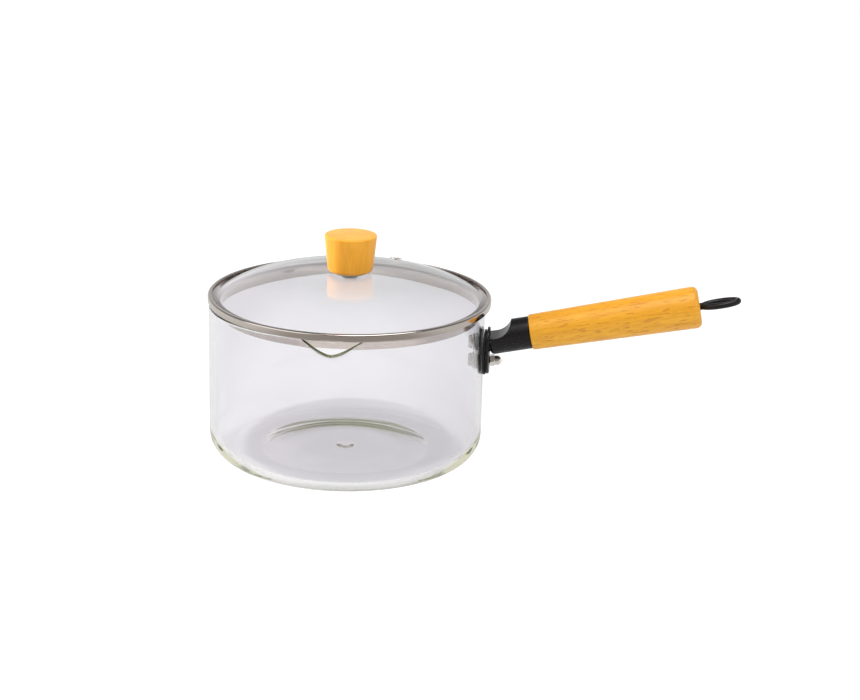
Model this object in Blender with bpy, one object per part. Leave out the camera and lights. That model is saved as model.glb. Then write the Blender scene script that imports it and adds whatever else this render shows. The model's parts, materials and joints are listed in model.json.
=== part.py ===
# Glass saucepan: a pressed glass pot with a pouring lip, a bolted handle bracket, a beech grip
# held by a rod with a hanging eye, and a domed glass lid in a rolled steel rim with a beech knob.
# Units are metres, +Z is up. The origin is the centre of the base, on the surface the pot
# stands on. The handle points along +X and the pouring lip along -Y.

import math

import bmesh
import bpy
from mathutils import Vector

MM = 0.001

# Clearances
SEAT = 0.3 * MM                  # between pieces that touch on the real pan
BOLT_PLAY = 0.35 * MM            # radial play of a screw in a washer or a moulding

# Pot
POT_RADIUS = 82.5 * MM
POT_HEIGHT = 94.4 * MM
WALL = 3.0 * MM
FLOOR = 4.2 * MM
OUTER_CORNER = 15.0 * MM
INNER_CORNER = OUTER_CORNER - WALL
FOOT_WIDTH = 16.5 * MM           # flat ring that the pot stands on
RECESS_RADIUS = POT_RADIUS - OUTER_CORNER - FOOT_WIDTH
RECESS_DEPTH = 1.2 * MM          # hollow under the floor, inside the foot ring
RECESS_BEVEL = 1.4 * MM
PIP_RADIUS = 5.5 * MM            # flat mark left by the mould, level with the foot

# Pouring lip, pushed out of the wall at the rim
LIP_AZIMUTH = math.radians(-89.4)
LIP_WIDTH = 36.5 * MM            # along the rim
LIP_REACH = 9.8 * MM
LIP_DIP = 6.4 * MM
LIP_DEPTH = 17.0 * MM
LIP_BLUNT = 0.12                 # roundness of the V's point, as a share of its half width
LIP_FLANKS = 1.15                # over 1 hollows the V's sides
LIP_SWEEP = 1.8                  # how late the wall turns outwards on its way up
LIP_EDGE = 3.0                   # how late the rim dips

# Screws, all of one thread
BOLT_RADIUS = 2.0 * MM
BOLT_POINT = 0.8 * MM            # chamfer at the screw's end
HEAD_RADIUS = BOLT_RADIUS + 2.0 * MM
HEAD_HEIGHT = 2.4 * MM
HEAD_ROUND = 0.58                # of the head's outer edge, as a share of its height
CROSS_SPAN = 4.4 * MM
CROSS_SLOT = 0.9 * MM
CROSS_DEPTH = 0.54               # as a share of the head's height
SLEEVE_WALL = 0.55 * MM          # silicone between a screw and the glass it passes
GLASS_HOLE_RADIUS = BOLT_RADIUS + BOLT_PLAY + SLEEVE_WALL + SEAT
WASHER_THICKNESS = 1.0 * MM

# Handle mount, from the glass outwards
GASKET_THICKNESS = 1.4 * MM
FLANGE_THICKNESS = 1.8 * MM
FLANGE_HALF_WIDTH = 10.4 * MM
FLANGE_CORNER = 9.4 * MM
FLANGE_EDGE_ROUND = 0.9 * MM
GASKET_INNER = POT_RADIUS + SEAT
GASKET_OUTER = GASKET_INNER + GASKET_THICKNESS
FLANGE_INNER = GASKET_OUTER + SEAT
FLANGE_OUTER = FLANGE_INNER + FLANGE_THICKNESS
NUT_FACE = FLANGE_OUTER + SEAT
NUT_FLAT = BOLT_RADIUS + BOLT_PLAY + 0.8 * MM    # from the nut's axis to each flat
NUT_HEX = 2.7 * MM
NUT_COLLAR = 1.3 * MM            # between the hexagon and the dome
NUT_DOME_RADIUS = NUT_FLAT - 0.15 * MM
NUT_CROWN = 1.8 * MM             # solid metal over the bore
NUT_HEIGHT = NUT_HEX + NUT_COLLAR + NUT_DOME_RADIUS

# Handle, measured along its own axis from the pot's wall
HANDLE_DROP = 19.8 * MM          # from the pot's rim to the axis, at the wall
HANDLE_AXIS_Z = POT_HEIGHT - HANDLE_DROP
HANDLE_SLOPE = math.radians(11.85)
NECK_START = FLANGE_OUTER - POT_RADIUS - 0.8 * MM
NECK_END_ROUND = 2.2 * MM
NECK_LENGTH = 17.6 * MM          # to where the ferrule is round all the way
FERRULE_RADIUS = 9.75 * MM
FERRULE_END = NECK_LENGTH + 10.4 * MM
SCOOP_REACH = 10.4 * MM          # length of the curve that climbs to the ferrule
SCOOP_HEIGHT = 2.3 * MM          # of the neck's flat above the axis, at the wall
SCOOP_TILT = math.radians(3.7)   # of the flat, back towards level
GRIP_LENGTH = 101.1 * MM
GRIP_ROOT_RADIUS = FERRULE_RADIUS + 0.9 * MM
GRIP_TIP_RADIUS = GRIP_ROOT_RADIUS + 1.8 * MM
GRIP_TIP_ROUND = 3.6 * MM
GRIP_ROOT_ROUND = 0.8 * MM
GRIP_START = FERRULE_END + SEAT
GRIP_END = GRIP_START + GRIP_LENGTH
ROD_RADIUS = 2.1 * MM
ROD_PLAY = 0.4 * MM
ROD_END_BEVEL = 0.4 * MM
INSERT_RADIUS = ROD_RADIUS + SEAT + 1.6 * MM
INSERT_LENGTH = FERRULE_END - NECK_LENGTH - 1.4 * MM
EYE_WIRE = 1.8 * MM              # radius of the wire
EYE_HALF_LENGTH = 10.4 * MM      # of the oval that the wire's middle follows
EYE_HALF_WIDTH = 4.9 * MM
EYE_NECK = 1.8 * MM              # straight rod between the grip and the eye

# Bolts of the mount: the nut sits close below the neck, the upper bolt runs into it
UPPER_BOLT_Z = HANDLE_AXIS_Z - 1.6 * MM
NECK_UNDERSIDE_Z = (HANDLE_AXIS_Z - FERRULE_RADIUS / math.cos(HANDLE_SLOPE)
                    + (NUT_FACE - POT_RADIUS) * math.tan(HANDLE_SLOPE))
NUT_GAP = 0.6 * MM               # between the nut and the neck above it
LOWER_BOLT_Z = NECK_UNDERSIDE_Z - NUT_GAP - NUT_FLAT
FLANGE_HIGH = UPPER_BOLT_Z + 9.0 * MM
FLANGE_LOW = LOWER_BOLT_Z - 7.9 * MM
GASKET_HIGH = FLANGE_HIGH - 1.8 * MM
GASKET_LOW = FLANGE_LOW - 0.6 * MM
SEAL_RADIUS = (UPPER_BOLT_Z - LOWER_BOLT_Z - 0.4 * MM) / 2
SEAL_THICKNESS = 2.0 * MM
WASHER_RADIUS = SEAL_RADIUS - 0.4 * MM
SEAL_FACE = math.sqrt((POT_RADIUS - WALL) ** 2 - SEAL_RADIUS ** 2) - SEAT   # flat on a curved wall
WASHER_FACE = SEAL_FACE - SEAL_THICKNESS - SEAT
HEAD_FACE = WASHER_FACE - WASHER_THICKNESS - SEAT
BOLT_END = NUT_FACE + NUT_HEIGHT - NUT_CROWN - 0.8 * MM

# Lid, measured up from its seat on the pot's rim
LID_GLASS = 2.8 * MM
SHEET = 0.5 * MM                 # steel of the rim
RIM_OUTER = POT_RADIUS + 2.1 * MM
RIM_ROOF = 2.4 * MM              # width of the rim's top over the glass
RIM_LIP = RIM_OUTER - RIM_ROOF
RIM_ROUND = 1.0 * MM
SKIRT_PLAY = 2.5 * MM            # between the skirt and the pot's inside
SKIRT_RADIUS = POT_RADIUS - WALL - SKIRT_PLAY
SKIRT_DEPTH = 6.2 * MM
LID_SHIFT = SKIRT_PLAY - 1.1 * MM    # the lid lies towards one side of its play
GLASS_EDGE_LOW = SHEET + SEAT
GLASS_EDGE_HIGH = GLASS_EDGE_LOW + LID_GLASS
GLASS_EDGE_RADIUS = RIM_OUTER - SHEET - SEAT * 4 / 3
GLASS_BEVEL = 0.5 * MM
RIM_HEIGHT = GLASS_EDGE_HIGH + SEAT + SHEET
DOME_RADIUS = RIM_LIP - 2.7 * MM
DOME_RISE = 13.6 * MM
DOME_POWER = 3.5                 # 2 is a parabola, more is flatter at the top
LID_SEAT_Z = POT_HEIGHT + SEAT

# Steam vent in the lid
VENT_DISTANCE = DOME_RADIUS - 22.5 * MM
VENT_AZIMUTH = math.radians(67)
VENT_BORE_RADIUS = 2.2 * MM
VENT_SHEET = 0.6 * MM
VENT_TUBE_RADIUS = VENT_BORE_RADIUS + VENT_SHEET
VENT_HOLE_RADIUS = VENT_TUBE_RADIUS + SEAT
VENT_FLANGE_RADIUS = VENT_HOLE_RADIUS + 0.9 * MM

# Knob and what holds it
KNOB_BASE_RADIUS = 13.6 * MM
KNOB_TOP_RADIUS = 15.55 * MM
KNOB_HEIGHT = 22.4 * MM
KNOB_BASE_ROUND = 2.4 * MM
KNOB_TOP_ROUND = 0.9 * MM
KNOB_SEAL_RADIUS = KNOB_BASE_RADIUS - 3.4 * MM
KNOB_SEAL = 0.6 * MM
UNDER_SEAL_RADIUS = 5.2 * MM
UNDER_SEAL = 0.6 * MM
UNDER_WASHER_RADIUS = UNDER_SEAL_RADIUS - 0.4 * MM
UNDER_WASHER = 0.5 * MM
KNOB_HEAD_HEIGHT = 1.4 * MM
KNOB_INSERT_RADIUS = BOLT_RADIUS + BOLT_PLAY + 1.25 * MM
KNOB_INSERT_LENGTH = 11.0 * MM
KNOB_BOLT_REACH = KNOB_INSERT_LENGTH - 3.3 * MM

# Roundness: faces round each piece, and steps along the larger curves
POT_SIDES = 72
LIP_STEPS = 16
LID_SIDES = 60
MEDIUM = 32
SMALL = 16
DOME_STEPS = 9
CORNER_STEPS = 5
PLATE_STEPS = 5

ALONG_X = (0, math.pi / 2, 0)    # lays a turned piece on its side, pointing away from the pot


# Materials

def principled(name, colour, roughness, metallic=0.0, transmission=0.0):
    """A Principled BSDF with the piece's colour and finish."""
    material = bpy.data.materials.new(name)
    material.use_nodes = True
    shader = material.node_tree.nodes["Principled BSDF"]
    shader.inputs["Base Color"].default_value = (*colour, 1.0)
    shader.inputs["Roughness"].default_value = roughness
    shader.inputs["Metallic"].default_value = metallic
    shader.inputs["Transmission Weight"].default_value = transmission
    material.diffuse_color = (*colour, 1.0)
    return material


# Building blocks

def place(obj, parent, location, rotation):
    """Link an object into the scene, in its parent's frame."""
    bpy.context.scene.collection.objects.link(obj)
    obj.parent = parent
    obj.location = location
    obj.rotation_euler = rotation
    return obj


def add_piece(name, mesh, material, parent=None, location=(0, 0, 0), rotation=(0, 0, 0)):
    """A piece of the pan, shaded smooth where it is round."""
    mesh.materials.append(material)
    mesh.shade_smooth()
    mesh.set_sharp_from_angle(angle=math.radians(35))
    return place(bpy.data.objects.new(name, mesh), parent, location, rotation)


def shape_with(piece, operation, name, mesh, parent=None, location=(0, 0, 0), rotation=(0, 0, 0)):
    """Cut or join a piece with a hidden helper shape."""
    helper = place(bpy.data.objects.new(name, mesh), parent, location, rotation)
    helper.hide_render = True
    helper.display_type = "WIRE"
    modifier = piece.modifiers.new(operation.title() + " " + name, "BOOLEAN")
    modifier.operation = operation
    modifier.solver = "EXACT"
    modifier.object = helper


def mesh_from(name, build):
    """Run a function on an empty bmesh and keep the result, faces outwards."""
    shape = bmesh.new()
    build(shape)
    bmesh.ops.recalc_face_normals(shape, faces=shape.faces)
    mesh = bpy.data.meshes.new(name)
    shape.to_mesh(mesh)
    shape.free()
    return mesh


def even_angles(count, first=0.0):
    return [first + 2 * math.pi * i / count for i in range(count)]


def turned(name, outline, angles):
    """Turn a closed outline of (radius, height) points round Z into one closed body."""
    def build(shape):
        rings = []
        for radius, height in outline:
            if radius < SEAT / 1000:
                rings.append([shape.verts.new((0, 0, height))])
            else:
                rings.append([shape.verts.new((radius * math.cos(a), radius * math.sin(a), height))
                              for a in angles])
        count = len(angles)
        for low, high in zip(rings, rings[1:] + rings[:1]):
            if len(low) == 1 and len(high) == 1:
                continue
            for i in range(count):
                j = (i + 1) % count
                if len(low) == 1:
                    corners = [low[0], high[j], high[i]]
                elif len(high) == 1:
                    corners = [low[i], low[j], high[0]]
                else:
                    corners = [low[i], low[j], high[j], high[i]]
                shape.faces.new(corners)

    return mesh_from(name, build)


def small(name, outline):
    return turned(name, outline, even_angles(SMALL))


def disc(radius, low, high, bore=0.0):
    """Outline of a flat disc, or of a washer with a bore, between two heights."""
    return [(bore, low), (radius, low), (radius, high), (bore, high)]


def arc(centre, radius, start, end, steps):
    """Points on an arc in the outline's plane, angles in degrees."""
    points = []
    for i in range(steps + 1):
        angle = math.radians(start + (end - start) * i / steps)
        points.append((centre[0] + radius * math.cos(angle), centre[1] + radius * math.sin(angle)))
    return points


def prism(name, outline, low, high):
    """Extrude a closed outline of (x, y) points from one height to another."""
    def build(shape):
        face = shape.faces.new([shape.verts.new((x, y, low)) for x, y in outline])
        pushed = bmesh.ops.extrude_face_region(shape, geom=[face])
        moved = [v for v in pushed["geom"] if isinstance(v, bmesh.types.BMVert)]
        bmesh.ops.translate(shape, verts=moved, vec=(0, 0, high - low))

    return mesh_from(name, build)


def plate_outline(half_width, low, high, corner):
    """Outline (y, z) of a plate with rounded corners."""
    side, top, bottom = half_width - corner, high - corner, low + corner
    outline = arc((side, top), corner, 0, 90, PLATE_STEPS)
    outline += arc((-side, top), corner, 90, 180, PLATE_STEPS)
    outline += arc((-side, bottom), corner, 180, 270, PLATE_STEPS)
    return outline + arc((side, bottom), corner, 270, 360, PLATE_STEPS)


def saddle(name, half_width, low, high, section):
    """A plate curved to fit round the pot's wall, with a section of (inset, reach) points."""
    def build(shape):
        rows = []
        for inset, reach in section:
            outline = plate_outline(half_width - inset, low + inset, high - inset, FLANGE_CORNER - inset)
            rows.append([shape.verts.new((math.sqrt(reach ** 2 - y ** 2), y, z)) for y, z in outline])
        count = len(rows[0])
        for row, following in zip(rows, rows[1:]):
            for i in range(count):
                j = (i + 1) % count
                shape.faces.new((row[i], row[j], following[j], following[i]))
        for row, reach in ((rows[0], section[0][1]), (rows[-1], section[-1][1])):
            hub = shape.verts.new((reach, 0, (low + high) / 2))
            for i in range(count):
                shape.faces.new((row[i], row[(i + 1) % count], hub))

    return mesh_from(name, build)


def ring_tube(name, path, radius, sides):
    """A round wire that follows a closed path in the XY plane."""
    def build(shape):
        count = len(path)
        rings = []
        for i, point in enumerate(path):
            before = (point - path[i - 1]).normalized()
            after = (path[(i + 1) % count] - point).normalized()
            across = Vector((-(before + after).y, (before + after).x, 0)).normalized()
            stretch = 1 / across.dot(Vector((-after.y, after.x, 0)))
            ring = []
            for turn in even_angles(sides, math.pi / sides):
                side = across * radius * stretch * math.cos(turn)
                ring.append(shape.verts.new(point + side + Vector((0, 0, radius * math.sin(turn)))))
            rings.append(ring)
        for low, high in zip(rings, rings[1:] + rings[:1]):
            for k in range(sides):
                m = (k + 1) % sides
                shape.faces.new((low[k], low[m], high[m], high[k]))

    return mesh_from(name, build)


# Pot

def lip_half_angle():
    return LIP_WIDTH / 2 / POT_RADIUS


def pot_outline():
    """The pot's section, from the middle of its underside out, up and back in over the floor."""
    rim = WALL / 2
    inside = POT_RADIUS - WALL
    levels = [POT_HEIGHT - rim - LIP_DEPTH * share for share in (1.0, 0.68, 0.42, 0.2)]
    outline = [(0, 0), (PIP_RADIUS, 0), (PIP_RADIUS + RECESS_DEPTH / 2, RECESS_DEPTH)]
    outline += [(RECESS_RADIUS - RECESS_BEVEL, RECESS_DEPTH), (RECESS_RADIUS, 0)]
    outline += arc((POT_RADIUS - OUTER_CORNER, OUTER_CORNER), OUTER_CORNER, -90, 0, CORNER_STEPS)
    outline += [(POT_RADIUS, level) for level in levels]
    outline += arc((POT_RADIUS - rim, POT_HEIGHT - rim), rim, 0, 180, 4)
    outline += [(inside, level) for level in reversed(levels)]
    outline += arc((inside - INNER_CORNER, FLOOR + INNER_CORNER), INNER_CORNER, 0, -90, CORNER_STEPS)
    return outline + [(0, FLOOR)]


def pot_angles():
    """Even steps round the pot, with finer ones across the pouring lip."""
    half = lip_half_angle()
    rest = 2 * math.pi - 2 * half
    coarse = POT_SIDES - LIP_STEPS
    angles = [LIP_AZIMUTH - half + 2 * half * i / LIP_STEPS for i in range(LIP_STEPS)]
    return angles + [LIP_AZIMUTH + half + rest * i / coarse for i in range(coarse)]


def push_lip(mesh):
    """Push the wall out and down into a V-shaped pouring lip."""
    span = math.sqrt(1 + LIP_BLUNT ** 2) - LIP_BLUNT
    for vertex in mesh.vertices:
        x, y, z = vertex.co
        turn = (math.atan2(y, x) - LIP_AZIMUTH + math.pi) % (2 * math.pi) - math.pi
        share = abs(turn) / lip_half_angle()
        level = (z - (POT_HEIGHT - LIP_DEPTH)) / LIP_DEPTH
        if share >= 1 or level <= 0:
            continue
        peak = (1 - (math.sqrt(share ** 2 + LIP_BLUNT ** 2) - LIP_BLUNT) / span) ** LIP_FLANKS
        grown = 1 + LIP_REACH * peak * level ** LIP_SWEEP / math.hypot(x, y)
        vertex.co = (x * grown, y * grown, z - LIP_DIP * peak * level ** LIP_EDGE)


def make_pot(glass):
    mesh = turned("glass_pot", pot_outline(), pot_angles())
    push_lip(mesh)
    pot = add_piece("glass_pot", mesh, glass)
    hole = small("glass_hole", disc(GLASS_HOLE_RADIUS, -WALL, WALL * 2))
    for name, height in (("upper_glass_hole", UPPER_BOLT_Z), ("lower_glass_hole", LOWER_BOLT_Z)):
        shape_with(pot, "DIFFERENCE", name, hole, None, (POT_RADIUS - WALL, 0, height), ALONG_X)


# Screws, washers and seals

def make_screw(name, length, head, steel, parent, location, rotation=(0, 0, 0)):
    """A pan head screw: the head's seat is at 0, the shank runs up, the cross recess opens down."""
    edge = head * HEAD_ROUND
    outline = [(0, -head)] + arc((HEAD_RADIUS - edge, edge - head), edge, -90, 0, 3)
    outline += [(HEAD_RADIUS, 0), (BOLT_RADIUS, 0), (BOLT_RADIUS, length - BOLT_POINT)]
    outline += [(BOLT_RADIUS - BOLT_POINT, length), (0, length)]
    screw = add_piece(name, small(name, outline), steel, parent, location, rotation)
    reach, slot = CROSS_SPAN / 2, CROSS_SLOT / 2
    arm = [(reach, -slot), (reach, slot), (slot, slot)]
    cross = []
    for _ in range(4):
        cross += arm
        arm = [(-y, x) for x, y in arm]
    recess = prism(name + "_cross", cross, -head * 2, head * (CROSS_DEPTH - 1))
    shape_with(screw, "DIFFERENCE", name + "_cross", recess, screw)


def make_bolt_stack(prefix, height, steel, silicone):
    """Seal, washer and screw of one bolt, inside the pot."""
    centre = (0, 0, height)
    bore = BOLT_RADIUS + BOLT_PLAY
    sleeve = GLASS_HOLE_RADIUS - SEAT
    back = SEAL_FACE - SEAL_THICKNESS
    end = POT_RADIUS - SEAT
    seal = [(bore, back), (SEAL_RADIUS, back), (SEAL_RADIUS, SEAL_FACE), (sleeve, SEAL_FACE),
            (sleeve, end), (bore, end)]
    name = prefix + "_inner_seal"
    add_piece(name, small(name, seal), silicone, None, centre, ALONG_X)
    washer = disc(WASHER_RADIUS, WASHER_FACE - WASHER_THICKNESS, WASHER_FACE, bore)
    name = prefix + "_inner_washer"
    add_piece(name, small(name, washer), steel, None, centre, ALONG_X)
    place_of_head = (HEAD_FACE, 0, height)
    make_screw(prefix + "_bolt", BOLT_END - HEAD_FACE, HEAD_HEIGHT, steel, None, place_of_head, ALONG_X)


def make_gasket(rubber):
    inset = FLANGE_CORNER / 2        # a ring of points inside, so that the faces follow the curve
    section = [(inset, GASKET_INNER), (0, GASKET_INNER), (0, GASKET_OUTER), (inset, GASKET_OUTER)]
    mesh = saddle("bracket_gasket", FLANGE_HALF_WIDTH, GASKET_LOW, GASKET_HIGH, section)
    gasket = add_piece("bracket_gasket", mesh, rubber)
    hole = small("gasket_hole", disc(BOLT_RADIUS + BOLT_PLAY, -WALL, GASKET_THICKNESS * 2))
    for name, height in (("upper_gasket_hole", UPPER_BOLT_Z), ("lower_gasket_hole", LOWER_BOLT_Z)):
        shape_with(gasket, "DIFFERENCE", name, hole, None, (POT_RADIUS, 0, height), ALONG_X)


def make_nut(steel):
    """A domed cap nut on the lower bolt, with two of its flats level."""
    seat = (NUT_FACE, 0, LOWER_BOLT_Z)
    corner = NUT_FLAT / math.cos(math.pi / 6)
    hexagon = turned("cap_nut", disc(corner, 0, NUT_HEX), even_angles(6, math.pi / 6))
    nut = add_piece("cap_nut", hexagon, steel, None, seat, ALONG_X)
    dome = [(0, NUT_HEX / 2), (NUT_DOME_RADIUS, NUT_HEX / 2)]
    dome += arc((0, NUT_HEX + NUT_COLLAR), NUT_DOME_RADIUS, 0, 75, 5) + [(0, NUT_HEIGHT)]
    shape_with(nut, "UNION", "cap_nut_dome", small("cap_nut_dome", dome), None, seat, ALONG_X)
    bore = disc(BOLT_RADIUS + BOLT_PLAY, -NUT_HEX, NUT_HEIGHT - NUT_CROWN)
    shape_with(nut, "DIFFERENCE", "cap_nut_bore", small("cap_nut_bore", bore), None, seat, ALONG_X)


# Handle: pieces are placed in the frame of an empty on its axis, whose X runs up the handle

def scoop_outline():
    """The cut over the neck: a flat that sweeps up to the top of the ferrule."""
    above = FERRULE_RADIUS * 3
    rise = FERRULE_RADIUS * 1.2 - SCOOP_HEIGHT + NECK_LENGTH * math.tan(SCOOP_TILT)
    sweep = []
    for x, y in arc((0, 0), 1, -90, 0, 8):
        sweep.append((NECK_LENGTH - SCOOP_REACH * (1 - x), rise * (1 + y)))
    return [(-above, above), (-above, 0)] + sweep + [(NECK_LENGTH, above)]


def make_bracket(handle, plastic):
    """The moulded bracket: flange round the pot, scooped neck and ferrule."""
    blunt = NECK_END_ROUND
    bar = [(0, NECK_START)]
    bar += arc((FERRULE_RADIUS - blunt, NECK_START + blunt), blunt, -90, 0, 3)
    bar += [(FERRULE_RADIUS, FERRULE_END), (0, FERRULE_END)]
    mesh = turned("handle_bracket", bar, even_angles(MEDIUM))
    bracket = add_piece("handle_bracket", mesh, plastic, handle, (0, 0, 0), ALONG_X)

    scoop = prism("neck_scoop", scoop_outline(), -FERRULE_RADIUS * 2, FERRULE_RADIUS * 2)
    tilt = (math.pi / 2, SCOOP_TILT, 0)
    shape_with(bracket, "DIFFERENCE", "neck_scoop", scoop, handle, (0, 0, SCOOP_HEIGHT), tilt)
    inset, edge = FLANGE_CORNER / 2, FLANGE_EDGE_ROUND
    section = [(inset, FLANGE_INNER), (0, FLANGE_INNER)]
    section += [(edge - x, z) for x, z in arc((0, FLANGE_OUTER - edge), edge, 0, 90, 2)]
    section += [(inset, FLANGE_OUTER)]
    flange = saddle("flange_plate", FLANGE_HALF_WIDTH, FLANGE_LOW, FLANGE_HIGH, section)
    shape_with(bracket, "UNION", "flange_plate", flange)

    tight = small("upper_bolt_hole", disc(BOLT_RADIUS + BOLT_PLAY / 2, 0, BOLT_END + SEAT))
    shape_with(bracket, "DIFFERENCE", "upper_bolt_hole", tight, None, (0, 0, UPPER_BOLT_Z), ALONG_X)
    free = small("lower_bolt_hole", disc(BOLT_RADIUS + BOLT_PLAY, 0, NUT_FACE))
    shape_with(bracket, "DIFFERENCE", "lower_bolt_hole", free, None, (0, 0, LOWER_BOLT_Z), ALONG_X)
    bottom = FERRULE_END - INSERT_LENGTH - SEAT * 2
    pocket = small("insert_pocket", disc(INSERT_RADIUS + SEAT, bottom, FERRULE_END * 2))
    shape_with(bracket, "DIFFERENCE", "insert_pocket", pocket, handle, (0, 0, 0), ALONG_X)


def make_grip(handle, wood):
    bore = ROD_RADIUS + ROD_PLAY
    root = (GRIP_ROOT_RADIUS - GRIP_ROOT_ROUND, GRIP_START + GRIP_ROOT_ROUND)
    tip = (GRIP_TIP_RADIUS - GRIP_TIP_ROUND, GRIP_END - GRIP_TIP_ROUND)
    outline = [(bore, GRIP_START)]
    outline += arc(root, GRIP_ROOT_ROUND, -90, 0, 3)
    outline += arc(tip, GRIP_TIP_ROUND, 0, 90, CORNER_STEPS)
    outline += [(bore, GRIP_END)]
    mesh = turned("beech_grip", outline, even_angles(MEDIUM))
    add_piece("beech_grip", mesh, wood, handle, (0, 0, 0), ALONG_X)


def make_insert(handle, brass):
    """Brass bush that the rod screws into, set in the ferrule."""
    end = FERRULE_END - SEAT
    outline = disc(INSERT_RADIUS, end - INSERT_LENGTH, end, ROD_RADIUS + SEAT)
    add_piece("rod_insert", small("rod_insert", outline), brass, handle, (0, 0, 0), ALONG_X)


def eye_path():
    """Middle of the wire: an oval that starts and ends on the rod."""
    centre = GRIP_END + EYE_NECK + EYE_HALF_LENGTH
    return [Vector((centre + EYE_HALF_LENGTH * x, EYE_HALF_WIDTH * y, 0))
            for x, y in arc((0, 0), 1, -180, 162, 19)]


def make_rod(handle, steel):
    """The rod through the grip, closed by the eye the pan hangs from."""
    start = FERRULE_END - INSERT_LENGTH + SEAT
    end = GRIP_END + EYE_NECK + EYE_WIRE
    bevel = ROD_END_BEVEL
    outline = [(0, start), (ROD_RADIUS - bevel, start), (ROD_RADIUS, start + bevel)]
    outline += [(ROD_RADIUS, end - bevel), (ROD_RADIUS - bevel, end), (0, end)]
    rod = add_piece("hanging_rod", small("hanging_rod", outline), steel, handle, (0, 0, 0), ALONG_X)
    shape_with(rod, "UNION", "rod_eye", ring_tube("rod_eye", eye_path(), EYE_WIRE, 10), handle)


# Lid: pieces are placed in the frame of an empty at the middle of the rim's seat

def dome_height(radius):
    """Top surface of the lid's glass, above the rim's seat."""
    return GLASS_EDGE_HIGH + DOME_RISE * (1 - min(radius / DOME_RADIUS, 1.0) ** DOME_POWER)


def dome_normal(radius):
    """Outward normal of the dome as (outwards, up)."""
    slope = DOME_RISE * DOME_POWER * (radius / DOME_RADIUS) ** (DOME_POWER - 1) / DOME_RADIUS
    length = math.hypot(slope, 1)
    return slope / length, 1 / length


def vent_place():
    """Place and rotation of the vent, square to the dome on its top surface."""
    out, up = dome_normal(VENT_DISTANCE)
    x = VENT_DISTANCE * math.cos(VENT_AZIMUTH)
    y = VENT_DISTANCE * math.sin(VENT_AZIMUTH)
    return (x, y, dome_height(VENT_DISTANCE)), (0, math.atan2(out, up), VENT_AZIMUTH)


def make_lid_glass(lid, glass):
    """A pressed dome of even thickness with a flat edge that sits in the rim."""
    hole = GLASS_HOLE_RADIUS
    step = (DOME_RADIUS - hole) / DOME_STEPS
    outline = []
    under = []
    for i in range(DOME_STEPS + 1):
        radius = hole + step * i
        height = dome_height(radius)
        out, up = dome_normal(radius)
        outline.append((radius, height))
        under.append((radius - out * LID_GLASS, height - up * LID_GLASS))
    under[0] = (hole, under[0][1])
    edge, bevel = GLASS_EDGE_RADIUS, GLASS_BEVEL
    outline += [(edge - bevel, GLASS_EDGE_HIGH), (edge, GLASS_EDGE_HIGH - bevel)]
    outline += [(edge, GLASS_EDGE_LOW + bevel), (edge - bevel, GLASS_EDGE_LOW)]
    mesh = turned("lid_glass", outline + under[::-1], even_angles(LID_SIDES))
    pane = add_piece("lid_glass", mesh, glass, lid)
    location, rotation = vent_place()
    drill = small("vent_hole", disc(VENT_HOLE_RADIUS, -LID_GLASS * 2, LID_GLASS * 2))
    shape_with(pane, "DIFFERENCE", "vent_hole", drill, lid, location, rotation)


def make_rim(lid, steel):
    """Rolled steel rim: a channel round the glass and a skirt that drops inside the pot."""
    turn = RIM_ROUND
    bend = turn - SHEET              # inside of the same bends
    skirt_in = SKIRT_RADIUS - SHEET
    inner = RIM_OUTER - SHEET
    roof = RIM_HEIGHT - SHEET
    outline = [(RIM_LIP, roof), (RIM_LIP + SHEET, RIM_HEIGHT)]
    outline += arc((RIM_OUTER - turn, RIM_HEIGHT - turn), turn, 90, 0, 2)
    outline += arc((RIM_OUTER - turn, turn), turn, 0, -90, 2)
    outline += arc((SKIRT_RADIUS + bend, -bend), bend, 90, 180, 2)
    outline += [(SKIRT_RADIUS, -SKIRT_DEPTH), (skirt_in, -SKIRT_DEPTH)]
    outline += arc((skirt_in + turn, SHEET - turn), turn, 180, 90, 2)
    outline += [(inner - bend, SHEET), (inner, SHEET + bend), (inner, roof - bend), (inner - bend, roof)]
    add_piece("lid_rim", turned("lid_rim", outline, even_angles(LID_SIDES)), steel, lid)


def make_vent(lid, steel):
    """The eyelet that lines the steam vent, rolled over the glass on both sides."""
    bore, tube, flange = VENT_BORE_RADIUS, VENT_TUBE_RADIUS, VENT_FLANGE_RADIUS
    bevel = VENT_SHEET / 2
    low = -LID_GLASS - SEAT
    outline = [(bore, low - VENT_SHEET), (flange - bevel, low - VENT_SHEET), (flange, low - bevel)]
    outline += [(flange, low), (tube, low), (tube, SEAT), (flange, SEAT), (flange, SEAT + bevel)]
    outline += [(flange - bevel, SEAT + VENT_SHEET), (bore, SEAT + VENT_SHEET)]
    location, rotation = vent_place()
    add_piece("vent_eyelet", small("vent_eyelet", outline), steel, lid, location, rotation)


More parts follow.
